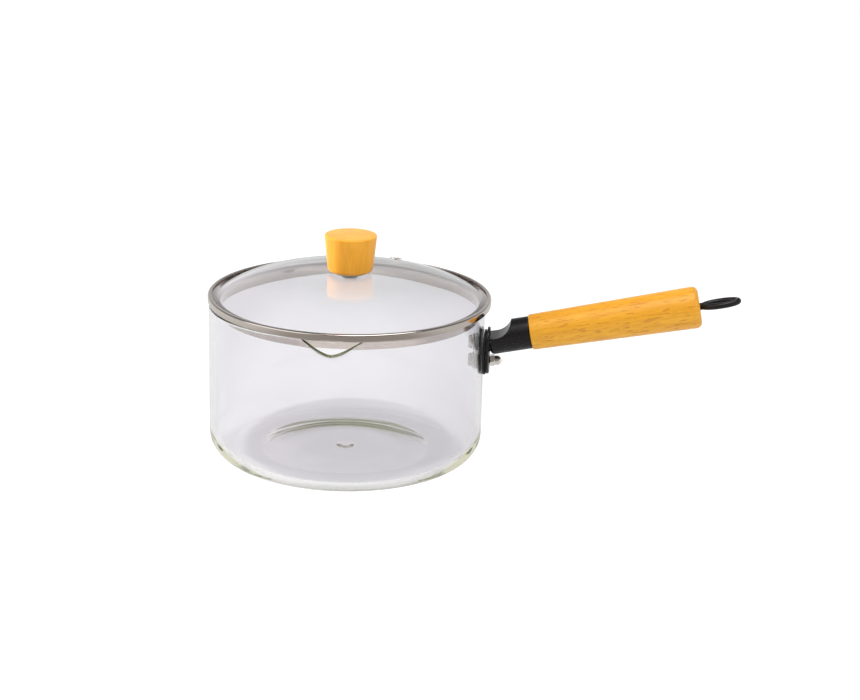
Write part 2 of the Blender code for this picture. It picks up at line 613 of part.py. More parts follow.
def make_knob(lid, wood, steel, silicone, brass):
    """The knob and what holds it: insert, seals, washer and a screw from below."""
    bore = BOLT_RADIUS + BOLT_PLAY
    dome_top = dome_height(GLASS_HOLE_RADIUS)
    seal_low = dome_top + SEAT
    knob_low = seal_low + KNOB_SEAL + SEAT
    seat_low = dome_top - LID_GLASS - SEAT - UNDER_SEAL
    washer_low = seat_low - SEAT - UNDER_WASHER
    head = washer_low - SEAT

    slant = math.degrees(math.atan2(KNOB_TOP_RADIUS - KNOB_BASE_RADIUS, KNOB_HEIGHT))
    pocket = KNOB_INSERT_RADIUS + SEAT
    ceiling = KNOB_INSERT_LENGTH + SEAT * 2
    base, top = KNOB_BASE_ROUND, KNOB_TOP_ROUND
    outline = [(pocket, 0)]
    outline += arc((KNOB_BASE_RADIUS - base, base), base, -90, -slant, 4)
    outline += arc((KNOB_TOP_RADIUS - top, KNOB_HEIGHT - top), top, -slant, 90, 3)
    outline += [(0, KNOB_HEIGHT), (0, ceiling), (pocket, ceiling)]
    mesh = turned("lid_knob", outline, even_angles(MEDIUM))
    add_piece("lid_knob", mesh, wood, lid, (0, 0, knob_low))

    insert = disc(KNOB_INSERT_RADIUS, knob_low + SEAT, knob_low + SEAT + KNOB_INSERT_LENGTH, bore)
    upper = disc(KNOB_SEAL_RADIUS, seal_low, seal_low + KNOB_SEAL, bore)
    under = disc(UNDER_SEAL_RADIUS, seat_low, seat_low + UNDER_SEAL, bore)
    washer = disc(UNDER_WASHER_RADIUS, washer_low, washer_low + UNDER_WASHER, bore)
    for name, section, material in (("knob_insert", insert, brass), ("knob_seal", upper, silicone),
                                    ("under_lid_seal", under, silicone),
                                    ("under_lid_washer", washer, steel)):
        add_piece(name, small(name, section), material, lid)
    make_screw("knob_bolt", knob_low + KNOB_BOLT_REACH - head, KNOB_HEAD_HEIGHT, steel, lid, (0, 0, head))


def main():
    for obj in list(bpy.data.objects):
        bpy.data.objects.remove(obj, do_unlink=True)

    glass = principled("clear_glass", (0.93, 0.94, 0.95), 0.02, 0.0, 1.0)
    steel = principled("polished_steel", (0.62, 0.60, 0.57), 0.12, 1.0)
    black_steel = principled("blackened_steel", (0.03, 0.03, 0.035), 0.35, 1.0)
    plastic = principled("black_plastic", (0.012, 0.012, 0.013), 0.32)
    rubber = principled("black_silicone", (0.01, 0.01, 0.01), 0.5)
    silicone = principled("clear_silicone", (0.72, 0.74, 0.70), 0.4, 0.0, 0.6)
    beech = principled("beech", (0.83, 0.43, 0.11), 0.45)
    brass = principled("brass", (0.66, 0.49, 0.20), 0.3, 1.0)

    make_pot(glass)
    make_bolt_stack("upper", UPPER_BOLT_Z, steel, silicone)
    make_bolt_stack("lower", LOWER_BOLT_Z, steel, silicone)
    make_gasket(rubber)
    make_nut(steel)

    handle = place(bpy.data.objects.new("handle_axis", None), None,
                   (POT_RADIUS, 0, HANDLE_AXIS_Z), (0, -HANDLE_SLOPE, 0))
    make_bracket(handle, plastic)
    make_insert(handle, brass)
    make_grip(handle, beech)
    make_rod(handle, black_steel)

    lid = place(bpy.data.objects.new("lid_seat", None), None,
                (LID_SHIFT, 0, LID_SEAT_Z), (0, 0, 0))
    make_lid_glass(lid, glass)
    make_rim(lid, steel)
    make_vent(lid, steel)
    make_knob(lid, beech, steel, silicone, brass)


main()
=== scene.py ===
# %% [markdown]
# # A glass saucepan, dressed for a photograph
# The real pan is a pressed glass pot with a pouring lip, a bolted black bracket, a turned beech
# grip and a domed glass lid in a rolled steel rim. The solids of its parts come from a packed
# frame. Here each visible surface is made again with finer curves, and given its finish.
# Light crosses many glass surfaces before it reaches the camera, so rays may bend that often.

# %% Load the frame
import json
import math

import bmesh
import bpy
from mathutils import Matrix, Vector

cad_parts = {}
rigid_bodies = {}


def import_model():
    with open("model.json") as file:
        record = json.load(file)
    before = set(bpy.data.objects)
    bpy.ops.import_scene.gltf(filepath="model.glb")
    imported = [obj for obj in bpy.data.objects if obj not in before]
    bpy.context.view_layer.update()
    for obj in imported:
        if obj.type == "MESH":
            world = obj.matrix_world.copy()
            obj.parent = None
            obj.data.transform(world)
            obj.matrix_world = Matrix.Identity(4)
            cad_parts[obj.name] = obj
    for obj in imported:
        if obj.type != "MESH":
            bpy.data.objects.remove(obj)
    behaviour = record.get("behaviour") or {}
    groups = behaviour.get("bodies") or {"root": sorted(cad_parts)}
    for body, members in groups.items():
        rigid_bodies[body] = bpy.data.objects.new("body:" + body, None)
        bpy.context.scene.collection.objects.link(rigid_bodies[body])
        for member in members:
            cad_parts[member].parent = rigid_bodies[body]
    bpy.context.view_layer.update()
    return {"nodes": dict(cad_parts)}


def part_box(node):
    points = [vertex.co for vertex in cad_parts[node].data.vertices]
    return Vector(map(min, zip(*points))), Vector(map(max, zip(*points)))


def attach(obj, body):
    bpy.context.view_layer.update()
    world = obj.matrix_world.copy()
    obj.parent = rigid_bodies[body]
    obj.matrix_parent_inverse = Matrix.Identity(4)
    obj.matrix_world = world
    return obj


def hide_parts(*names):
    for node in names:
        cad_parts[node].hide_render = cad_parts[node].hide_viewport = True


for leftover in list(bpy.data.objects):
    bpy.data.objects.remove(leftover, do_unlink=True)
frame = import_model()
nodes = frame["nodes"]
scene = bpy.context.scene
scene.view_settings.view_transform = "Standard"
MM = 0.001
LIGHT_BOUNCES = 64
scene.cycles.max_bounces = LIGHT_BOUNCES
scene.cycles.transmission_bounces = LIGHT_BOUNCES
scene.cycles.glossy_bounces = LIGHT_BOUNCES


def put(name, data):
    """A new object in the scene."""
    piece = bpy.data.objects.new(name, data)
    scene.collection.objects.link(piece)
    return piece


# %% [markdown]
# The camera comes first, because every later look is judged through it. A long lens from 1.2 m
# keeps the sides of the pot nearly parallel. A small roll is kept, because the pan was
# photographed that way.

# %% Camera
CAMERA_AZIMUTH = math.radians(4)
CAMERA_HEIGHT = math.radians(17.57)
CAMERA_ROLL = math.radians(1.6)
CAMERA_DISTANCE = 1.2215
LENS_LENGTH = 84.88
SENSOR_WIDTH = 36
LOOK_AT = Vector((0.05, 0.00351, 0.06502))

across = Vector((math.cos(CAMERA_AZIMUTH), math.sin(CAMERA_AZIMUTH), 0))
back = Vector((math.sin(CAMERA_AZIMUTH), -math.cos(CAMERA_AZIMUTH), 0)) * math.cos(CAMERA_HEIGHT)
back.z = math.sin(CAMERA_HEIGHT)
upward = back.cross(across)
rolled_across = across * math.cos(CAMERA_ROLL) + upward * math.sin(CAMERA_ROLL)
rolled_up = upward * math.cos(CAMERA_ROLL) - across * math.sin(CAMERA_ROLL)

lens = bpy.data.cameras.new("long lens")
lens.lens = LENS_LENGTH
lens.sensor_width = SENSOR_WIDTH
camera = put("camera", lens)
camera.matrix_world = Matrix((rolled_across, rolled_up, back)).transposed().to_4x4()
camera.matrix_world.translation = LOOK_AT + back * CAMERA_DISTANCE
scene.camera = camera
print("camera at", [round(value, 3) for value in camera.matrix_world.translation])

# %% [markdown]
# The room is a world colour that differs by the kind of ray. The camera sees plain white. Steel
# mirrors a studio that gets darker overhead and behind the camera, and those dark parts draw the
# lines in the polish. Glass shows what lies behind it: a pale room, dimmer straight at the back
# and brighter at both sides, so that the pot's edges stay light. A ray bent by glass also
# counts as glossy, so its mix comes after that of the steel.

# %% Node helpers
def add_node(tree, kind, inputs, **settings):
    """A shader node with its settings, and a plain value or a socket for each input."""
    node = tree.nodes.new("ShaderNode" + kind)
    for key, value in settings.items():
        setattr(node, key, value)
    for key, value in inputs.items():
        if isinstance(value, bpy.types.NodeSocket):
            tree.links.new(value, node.inputs[key])
        else:
            node.inputs[key].default_value = value
    return node


def maths(tree, operation, *values):
    """A Math node on sockets and plain numbers."""
    return add_node(tree, "Math", dict(enumerate(values)), operation=operation).outputs[0]


def rays(tree, *kinds):
    """A value that is 1 for the named kinds of rays."""
    path = add_node(tree, "LightPath", {})
    total, *others = [path.outputs[f"Is {kind} Ray"] for kind in kinds]
    for other in others:
        total = maths(tree, "MAXIMUM", total, other)
    return total


def colour_mix(tree, share, first, second):
    """A mix of two colours, each a plain colour or a socket, by a socket from 0 to 1."""
    mix = add_node(tree, "Mix", {"Factor": share}, data_type="RGBA")
    for value, key in ((first, "A"), (second, "B")):
        socket = [s for s in mix.inputs if s.name == key and s.type == "RGBA"][0]
        if isinstance(value, tuple):
            socket.default_value = (*value, 1)
        else:
            tree.links.new(value, socket)
    return [s for s in mix.outputs if s.type == "RGBA"][0]


def ramp(tree, value, stops):
    """A colour ramp through (position, grey or colour) stops."""
    node = add_node(tree, "ValToRGB", {"Fac": value})
    elements = node.color_ramp.elements
    while len(elements) < len(stops):
        elements.new(0.5)
    for element, (position, colour) in zip(elements, stops):
        element.position = position
        element.color = (*colour, 1) if isinstance(colour, tuple) else (colour, colour, colour, 1)
    return node.outputs["Color"]


print("node helpers are ready")

# %% Room
WHITE = (1.0, 1.0, 1.0)
ROOM_LIGHT = 0.46
OVERHEAD = [(0.0, 0.9), (0.16, 0.9), (0.34, 0.42), (0.60, 0.22), (0.9, 0.12)]
DARK_ROOM = (0.21, 0.19, 0.17)
DARK_ROOM_EDGE = [(0.2, 0.0), (0.8, 1.0)]
BEHIND_GLASS = [(0.2, 0.74), (0.7, 0.36)]
CORNERS_THROUGH_GLASS = (1.0, 0.92, 1.0)
CORNER_EDGE = [(0.12, 0.0), (0.32, 1.0)]
world = bpy.data.worlds.new("white room")
scene.world = world
world.use_nodes = True
tree = world.node_tree
background = tree.nodes["Background"]
direction = add_node(tree, "TexCoord", {}).outputs["Generated"]
split = add_node(tree, "SeparateXYZ", {0: direction})
front = ramp(tree, maths(tree, "MULTIPLY", split.outputs["Y"], -1.0), DARK_ROOM_EDGE)
mirrored = colour_mix(tree, front, ramp(tree, split.outputs["Z"], OVERHEAD), DARK_ROOM)
plain = colour_mix(tree, rays(tree, "Glossy"), (ROOM_LIGHT,) * 3, mirrored)
away = ramp(tree, split.outputs["Y"], BEHIND_GLASS)
aside = maths(tree, "ABSOLUTE", split.outputs["X"])
away = colour_mix(tree, ramp(tree, aside, CORNER_EDGE), away, CORNERS_THROUGH_GLASS)
plain = colour_mix(tree, rays(tree, "Transmission"), plain, away)
seen = rays(tree, "Camera")
tree.links.new(colour_mix(tree, seen, plain, WHITE), background.inputs["Color"])
print("room light", ROOM_LIGHT)

# %% [markdown]
# The floor is one large sheet of pale paper. Besides taking light and the pan's shadow, it
# glows by an amount that depends on the kind of ray and on the place. Through the glass one
# sees a soft oval of shade under the pot. The steel of the rim mirrors the dark patch in front.

# %% Floor tones
FLOOR_GLOW = 0.80
FLOOR_FAR_GLOW = 0.89
FLOOR_SHADE = 0.20
FLOOR_LIGHT = 0.85
FLOOR_BEHIND = [(0.0, 0.74), (0.38, 0.70), (0.55, 0.34), (1.0, 0.22)]
FLOOR_BEFORE = [(0.28, (0.92, 0.91, 0.89)), (0.42, (0.30, 0.30, 0.31))]
FLOOR_BEFORE_EDGE = [(0.09, 0.0), (0.13, 1.0)]
RIGHT_SIDE = (0.57, 0.57, 0.58)
RIGHT_EDGE = [(0.0, 0.0), (0.085, 1.0)]
LEFT_SIDE = (0.60, 0.60, 0.61)
LEFT_EDGE = [(0.083, 0.0), (0.12, 1.0)]
UNDER_POT = (0.55, 0.545, 0.555)
UNDER_MIDDLE = (0.0005, 0.010)
UNDER_RADII = (0.0655, 0.086)
UNDER_EDGE = [(0.92, 1.0), (1.0, 0.0)]
DARK_PATCH = (0.05, -0.46, 0)
FLOOR_IN_FRONT = [(0.0, (0.09, 0.075, 0.06)), (0.32, (0.16, 0.135, 0.11)), (0.52, FLOOR_GLOW)]
FLOOR_AT_SIDES = FLOOR_IN_FRONT[:2] + [(0.52, 0.50)]
print("floor glow", FLOOR_GLOW)

# %% Floor
FLOOR_REACH = 4.0
FLOOR_DROP = 0.2 * MM
sweep_mesh = bpy.data.meshes.new("white sweep")
corners = [(FLOOR_REACH * x, FLOOR_REACH * y, 0) for x, y in ((-1, -1), (1, -1), (1, 1), (-1, 1))]
sweep_mesh.from_pydata(corners, [], [(0, 1, 2, 3)])
sweep = put("white_sweep", sweep_mesh)
sweep.location.z = -FLOOR_DROP

paper = bpy.data.materials.new("white paper")
paper.use_nodes = True
tree = paper.node_tree
tree.nodes.remove(tree.nodes["Principled BSDF"])
seen = rays(tree, "Camera", "Glossy", "Transmission")
shade = colour_mix(tree, seen, (FLOOR_LIGHT,) * 3, (FLOOR_SHADE,) * 3)
diffuse = add_node(tree, "BsdfDiffuse", {"Color": shade})
place = add_node(tree, "TexCoord", {}).outputs["Object"]
split = add_node(tree, "SeparateXYZ", {0: place})
behind = ramp(tree, split.outputs["Y"], FLOOR_BEHIND)
to_right = ramp(tree, split.outputs["X"], RIGHT_EDGE)
behind = colour_mix(tree, to_right, behind, RIGHT_SIDE)
nearer = maths(tree, "MULTIPLY", split.outputs["Y"], -1.0)
before = ramp(tree, nearer, FLOOR_BEFORE)
behind = colour_mix(tree, ramp(tree, nearer, FLOOR_BEFORE_EDGE), behind, before)
to_left = ramp(tree, maths(tree, "MULTIPLY", split.outputs["X"], -1.0), LEFT_EDGE)
behind = colour_mix(tree, to_left, behind, LEFT_SIDE)
oval_place = [-centre / radius for centre, radius in zip(UNDER_MIDDLE, UNDER_RADII)]
oval = add_node(tree, "Mapping", {
    "Vector": place, "Location": (*oval_place, 0),
    "Scale": (1 / UNDER_RADII[0], 1 / UNDER_RADII[1], 0)})
outwards = add_node(tree, "VectorMath", {0: oval.outputs["Vector"]}, operation="LENGTH")
under = ramp(tree, outwards.outputs["Value"], UNDER_EDGE)
behind = colour_mix(tree, under, behind, UNDER_POT)
apart = add_node(tree, "VectorMath", {0: place, 1: DARK_PATCH}, operation="DISTANCE")
in_front = ramp(tree, apart.outputs["Value"], FLOOR_IN_FRONT)
at_side = ramp(tree, apart.outputs["Value"], FLOOR_AT_SIDES)
in_front = colour_mix(tree, to_right, in_front, at_side)
in_front = colour_mix(tree, to_left, in_front, at_side)
lit = colour_mix(tree, rays(tree, "Glossy"), (FLOOR_FAR_GLOW,) * 3, in_front)
lit = colour_mix(tree, rays(tree, "Transmission"), lit, behind)
glow = add_node(tree, "Emission", {"Color": colour_mix(tree, seen, (0.0,) * 3, lit)})
total = add_node(tree, "AddShader", {0: diffuse.outputs[0], 1: glow.outputs[0]})
tree.links.new(total.outputs[0], tree.nodes["Material Output"].inputs["Surface"])
sweep_mesh.materials.append(paper)
print("floor reaches", FLOOR_REACH, "m")

# %% [markdown]
# Four soft lamps light the pan: a wide window at the left front, a weaker fill at the right, a
# small one from the left that keeps the wood's edges bright, and one overhead. A lamp that is
# seen bent by glass is a hard white patch, so glass doesn't show them, and the fill and the edge
# lamp don't show in the polish either.

# %% Lamps
LAMP_TARGET = Vector((0.03, 0, 0.06))


def soft_lamp(name, place, width, height, power):
    """A soft rectangular lamp that points at the pan."""
    light = bpy.data.lights.new(name, "AREA")
    light.shape = "RECTANGLE"
    light.size = width
    light.size_y = height
    light.energy = power
    lamp = put(name, light)
    lamp.location = place
    aim = LAMP_TARGET - Vector(place)
    lamp.rotation_euler = aim.to_track_quat("-Z", "Y").to_euler()
    lamp.visible_transmission = False
    return lamp


soft_lamp("window_lamp", (-1.2, -0.8, 1.1), width=1.9, height=1.6, power=13)
fill_lamp = soft_lamp("fill_lamp", (1.3, -0.8, 0.9), width=1.5, height=1.4, power=9)
fill_lamp.visible_glossy = False
edge_lamp = soft_lamp("edge_lamp", (-1.2, 0.3, 0.3), width=0.6, height=0.6, power=21)
edge_lamp.visible_glossy = False
soft_lamp("top_lamp", (0.3, -0.25, 1.5), width=1.2, height=0.7, power=13)

# %% [markdown]
# Nearly every piece is turned: pressed in a round mould, spun or cut on a lathe. One helper
# revolves a closed outline, given as distance from the axis and height, with as many steps as
# the piece needs to look round. Flats stay crisp, because sharp edges are marked as such.

# %% Outlines
def arc(centre, radius, start, end, steps):
    """Points on an arc in the outline's plane, angles in degrees."""
    points = []
    for i in range(steps + 1):
        angle = math.radians(start + (end - start) * i / steps)
        points.append((centre[0] + radius * math.cos(angle), centre[1] + radius * math.sin(angle)))
    return points


def disc(radius, low, high, bore=0.0, bevel=0.0):
    """Outline of a disc or washer between two heights, with small bevels outside."""
    outline = [(bore, low), (radius - bevel, low)]
    if bevel:
        outline += arc((radius - bevel, low + bevel), bevel, -90, 0, 4)[1:]
        outline += arc((radius - bevel, high - bevel), bevel, 0, 90, 4)
    else:
        outline += [(radius, high)]
    return outline + [(bore, high)]


def even_angles(count, first=0.0):
    """Angles of even steps all the way round."""
    return [first + 2 * math.pi * i / count for i in range(count)]


print("points on an arc of four steps:", len(arc((0, 0), 1, 0, 90, 4)))

# %% Meshes
CREASE = 35
ON_AXIS = 1e-7


def mesh_from(name, build, crease=CREASE):
    """Run a function on an empty bmesh and keep the result, smooth with crisp edges."""
    shape = bmesh.new()
    build(shape)
    bmesh.ops.recalc_face_normals(shape, faces=shape.faces)
    mesh = bpy.data.meshes.new(name)
    shape.to_mesh(mesh)
    shape.free()
    mesh.shade_smooth()
    mesh.set_sharp_from_angle(angle=math.radians(crease))
    return mesh


def turned(name, outline, steps, crease=CREASE):
    """Turn a closed outline of (radius, height) points round Z, in even steps or at angles."""
    angles = even_angles(steps) if isinstance(steps, int) else steps

    def build(shape):
        rings = []
        for radius, height in outline:
            if radius < ON_AXIS:
                rings.append([shape.verts.new((0, 0, height))])
            else:
                rings.append([shape.verts.new((radius * math.cos(a), radius * math.sin(a), height))
                              for a in angles])
        count = len(angles)
        for low, high in zip(rings, rings[1:] + rings[:1]):
            if len(low) == 1 and len(high) == 1:
                continue
            for i in range(count):
                j = (i + 1) % count
                if len(low) == 1:
                    corners = [low[0], high[j], high[i]]
                elif len(high) == 1:
                    corners = [low[i], low[j], high[0]]
                else:
                    corners = [low[i], low[j], high[j], high[i]]
                shape.faces.new(corners)

    return mesh_from(name, build, crease)


def prism(name, outline, low, high):
    """Extrude a closed outline of (x, y) points from one height to another."""
    def build(shape):
        face = shape.faces.new([shape.verts.new((x, y, low)) for x, y in outline])
        pushed = bmesh.ops.extrude_face_region(shape, geom=[face])
        moved = [v for v in pushed["geom"] if isinstance(v, bmesh.types.BMVert)]
        bmesh.ops.translate(shape, verts=moved, vec=(0, 0, high - low))

    return mesh_from(name, build)


print("edges sharper than", CREASE, "degrees are marked sharp")

# %% Cutting and placing
HERE = Matrix.Identity(4)


def applied(piece):
    """The smooth mesh that an object's modifiers give. The object itself is removed."""
    bpy.context.view_layer.update()
    evaluated = piece.evaluated_get(bpy.context.evaluated_depsgraph_get())
    result = bpy.data.meshes.new_from_object(evaluated)
    result.name = piece.data.name
    bpy.data.objects.remove(piece, do_unlink=True)
    result.shade_smooth()
    return result


def cut(mesh, operation, tools):
    """Cut or join a mesh with (mesh, matrix) tools, and keep the result."""
    piece = put("work", mesh)
    helpers = []
    for tool, matrix in tools:
        helper = put("tool", tool)
        helper.matrix_world = matrix
        modifier = piece.modifiers.new("cut", "BOOLEAN")
        modifier.operation = operation
        modifier.solver = "EXACT"
        modifier.object = helper
        helpers.append(helper)
    result = applied(piece)
    for helper in helpers:
        bpy.data.objects.remove(helper, do_unlink=True)
    result.set_sharp_from_angle(angle=math.radians(CREASE))
    return result


def add_piece(name, mesh, material, body, node, matrix=HERE):
    """Put a finished piece in the scene: it rides a body and stands for a CAD node."""
    mesh.materials.clear()
    mesh.materials.append(material)
    piece = put(name, mesh)
    piece.matrix_world = matrix
    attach(piece, body)
    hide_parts(node)
    print(name, "has", len(mesh.polygons), "faces")


# %% [markdown]
# Borosilicate glass is nearly colourless, and takes a little green only where light runs a long
# way inside it, along a rim or an edge. So the green is an absorption in the volume, and a very
# pale violet on the surface balances it where light only crosses a wall. A faint waviness stands
# for the pressing. A refracting shader would leave a black shadow behind it, so shadow rays pass
# straight through.

# %% Material helpers
def start_material(name, plain_inputs):
    """A new material, its node tree and its main shader, with the inputs that stay plain."""
    material = bpy.data.materials.new(name)
    material.use_nodes = True
    shader = material.node_tree.nodes["Principled BSDF"]
    for key, value in plain_inputs.items():
        shader.inputs[key].default_value = value
    return material, material.node_tree, shader


def object_noise(tree, scale, stretch=(1, 1, 1), detail=2.0, roughness=0.5):
    """Noise that is fixed to the piece, with its scale along each axis."""
    place = add_node(tree, "TexCoord", {}).outputs["Object"]
    mapping = add_node(tree, "Mapping", {"Vector": place, "Scale": stretch})
    noise = add_node(tree, "TexNoise", {
        "Vector": mapping.outputs["Vector"], "Scale": scale, "Detail": detail, "Roughness": roughness})
    return noise.outputs["Fac"]


def add_bump(tree, shader, height, strength, distance):
    """Raise the surface a little by a height socket."""
    bump = add_node(tree, "Bump", {"Strength": strength, "Distance": distance, "Height": height})
    tree.links.new(bump.outputs["Normal"], shader.inputs["Normal"])


def uneven_gloss(tree, shader, marks, low, high):
    """Roughness that wanders with the marks on the surface."""
    tree.links.new(ramp(tree, marks, [(0.3, low), (0.7, high)]), shader.inputs["Roughness"])


print("material helpers are ready")

# %% Clear glass
GLASS_BEND = 1.47
GLASS_SHADOW = (0.93, 0.93, 0.93, 1)
GLASS_CREASE = 50
WAVES = 40.0
WAVE_HEIGHT = 0.4 * MM


def clear_glass(name, tint, absorbed, density, waviness):
    """Glass that bends light and is tinted by its thickness."""
    material, tree, shader = start_material(name, {
        "Base Color": (*tint, 1), "Roughness": 0.0, "IOR": GLASS_BEND, "Transmission Weight": 1.0})
    add_bump(tree, shader, object_noise(tree, WAVES, detail=1.0), waviness, WAVE_HEIGHT)
    through = add_node(tree, "BsdfTransparent", {"Color": GLASS_SHADOW})
    mix = add_node(tree, "MixShader", {
        0: rays(tree, "Shadow"), 1: shader.outputs[0], 2: through.outputs[0]})
    volume = add_node(tree, "VolumeAbsorption", {"Color": (*absorbed, 1), "Density": density})
    output = tree.nodes["Material Output"]
    tree.links.new(mix.outputs[0], output.inputs["Surface"])
    tree.links.new(volume.outputs[0], output.inputs["Volume"])
    return material


pot_glass = clear_glass("pressed borosilicate", tint=(0.940, 0.930, 0.962),
                        absorbed=(0.74, 0.81, 0.47), density=8.0, waviness=0.1)
lid_pane_glass = clear_glass("lid pane glass", tint=(0.985, 0.975, 0.99),
                             absorbed=(0.72, 0.76, 0.74), density=45.0, waviness=0.06)
print("glass:", pot_glass.name, "and", lid_pane_glass.name)

# %% [markdown]
# The pot is one pressing: a straight wall on a rounded corner, a foot ring round a shallow
# recess, and a mark at the middle where the mould closes. The recess is a very flat dish. Its
# slope turns light back inside the glass, and that draws the green arc across the base. Glass
# shows the least false slope, so a close row of points (KEEP) stands beside every flat and keeps
# the smooth shading of the bends out of it.

# %% Pot section
POT_RADIUS = 82.5 * MM
POT_HEIGHT = 94.4 * MM
WALL = 3.0 * MM
FLOOR = 4.2 * MM
OUTER_CORNER = 15.0 * MM
INNER_CORNER = OUTER_CORNER - WALL
RECESS_RADIUS = 51.0 * MM
RECESS_DEPTH = 1.9 * MM
RECESS_FLAT = 25.0 * MM
PIP_RADIUS = 5.5 * MM
PIP_INNER = PIP_RADIUS * 0.25
PIP_OUTER = PIP_RADIUS * 1.1
PIP_STEPS = 16
RECESS_STEPS = 32
CORNER_STEPS = 24
KEEP = 0.8 * MM
LIP_DEPTH = 17.0 * MM
LIP_ROWS = 24


def base_outline():
    """The underside, from the middle out: the mould's mark, the dish and the foot ring."""
    outline = [(0, 0)]
    for i in range(1, PIP_STEPS + 1):
        swell = (1 - math.cos(math.pi * i / PIP_STEPS)) / 2
        outline.append((PIP_INNER + (PIP_OUTER - PIP_INNER) * i / PIP_STEPS, RECESS_DEPTH * swell))
    outline += [(PIP_OUTER + KEEP, RECESS_DEPTH), (RECESS_FLAT - KEEP, RECESS_DEPTH)]
    for i in range(RECESS_STEPS + 1):
        share = i / RECESS_STEPS
        radius = RECESS_FLAT + (RECESS_RADIUS - RECESS_FLAT) * share
        outline.append((radius, RECESS_DEPTH * (1 - share ** 2)))
    return outline + [(RECESS_RADIUS + KEEP, 0), (POT_RADIUS - OUTER_CORNER - KEEP, 0)]


def pot_outline():
    """The pot's section: under the base, up the wall and back in over the floor."""
    rim = WALL / 2
    inside = POT_RADIUS - WALL
    levels = [POT_HEIGHT - rim - LIP_DEPTH * (1 - i / LIP_ROWS) for i in range(LIP_ROWS)]
    outline = base_outline()
    outline += arc((POT_RADIUS - OUTER_CORNER, OUTER_CORNER), OUTER_CORNER, -90, 0, CORNER_STEPS)
    outline += [(POT_RADIUS, OUTER_CORNER + KEEP)]
    outline += [(POT_RADIUS, level) for level in levels]
    outline += arc((POT_RADIUS - rim, POT_HEIGHT - rim), rim, 0, 180, 12)
    outline += [(inside, level) for level in reversed(levels)]
    outline += [(inside, FLOOR + INNER_CORNER + KEEP)]
    outline += arc((inside - INNER_CORNER, FLOOR + INNER_CORNER), INNER_CORNER, 0, -90, CORNER_STEPS)
    return outline + [(inside - INNER_CORNER - KEEP, FLOOR), (0, FLOOR)]


print("the pot's section has", len(pot_outline()), "points")

# %% [markdown]
# The pouring lip is pinched out of the hot rim. Here the finished wall is pushed outwards and
# down by a V with a blunt point, which grows towards the rim. The steps round the pot are closer
# together there. The two bolt holes are drilled last, where the bolts' solids say.

# %% Pouring lip
LIP_AZIMUTH = math.radians(-89.4)
LIP_WIDTH = 36.5 * MM
LIP_REACH = 9.8 * MM
LIP_DIP = 6.4 * MM
LIP_BLUNT = 0.12
LIP_FLANKS = 1.15
LIP_SWEEP = 1.8
LIP_EDGE = 3.0
LIP_HALF_ANGLE = LIP_WIDTH / 2 / POT_RADIUS


def pot_angles():
    """Even steps round the pot, with finer ones across the pouring lip."""
    half, fine, coarse = LIP_HALF_ANGLE, 72, 248
    rest = 2 * math.pi - 2 * half
    angles = [LIP_AZIMUTH - half + 2 * half * i / fine for i in range(fine)]
    return angles + [LIP_AZIMUTH + half + rest * i / coarse for i in range(coarse)]


def push_lip(mesh):
    """Push the wall out and down into a V-shaped pouring lip."""
    span = math.sqrt(1 + LIP_BLUNT ** 2) - LIP_BLUNT
    for vertex in mesh.vertices:
        x, y, z = vertex.co
        turn = (math.atan2(y, x) - LIP_AZIMUTH + math.pi) % (2 * math.pi) - math.pi
        share = abs(turn) / LIP_HALF_ANGLE
        level = (z - (POT_HEIGHT - LIP_DEPTH)) / LIP_DEPTH
        if share >= 1 or level <= 0:
            continue
        peak = (1 - (math.sqrt(share ** 2 + LIP_BLUNT ** 2) - LIP_BLUNT) / span) ** LIP_FLANKS
        grown = 1 + LIP_REACH * peak * level ** LIP_SWEEP / math.hypot(x, y)
        vertex.co = (x * grown, y * grown, z - LIP_DIP * peak * level ** LIP_EDGE)


pot_mesh = turned("pressed_pot", pot_outline(), pot_angles(), crease=GLASS_CREASE)
push_lip(pot_mesh)
print("the lip is", round(LIP_WIDTH / MM, 1), "mm wide")

# %% Bolt holes
SEAT = 0.3 * MM
BOLT_RADIUS = 2.0 * MM
BOLT_PLAY = 0.35 * MM
SLEEVE_WALL = 0.55 * MM
BOLT_HOLE = BOLT_RADIUS + BOLT_PLAY
GLASS_HOLE_RADIUS = BOLT_HOLE + SLEEVE_WALL + SEAT


def middle(node):
    """The middle of a CAD node's box."""
    low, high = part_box(node)
    return (low + high) / 2


def lying(place):
    """A matrix that lays a turned piece along +X at a place."""
    return Matrix.Translation(place) @ Matrix.Rotation(math.pi / 2, 4, "Y")


UPPER_BOLT_Z = middle("upper_bolt").z
LOWER_BOLT_Z = middle("lower_bolt").z
drill = turned("drill", disc(GLASS_HOLE_RADIUS, -WALL, WALL * 2), 48)
holes = [(drill, lying((POT_RADIUS - WALL, 0, height))) for height in (UPPER_BOLT_Z, LOWER_BOLT_Z)]
pot_mesh = cut(pot_mesh, "DIFFERENCE", holes)
add_piece("pressed_pot", pot_mesh, pot_glass, "pan", "glass_pot")
print("bolts at", round(UPPER_BOLT_Z, 4), round(LOWER_BOLT_Z, 4))

# %% [markdown]
# The lid is a pressed dome of even thickness, nearly flat in the middle and steep near its rim.
# The grey band that shows behind the knob is the far slope of the dome, seen from underneath,
# so the curve and the thickness are real and the shader does the rest. The lid lies where its
# rim's solid says.

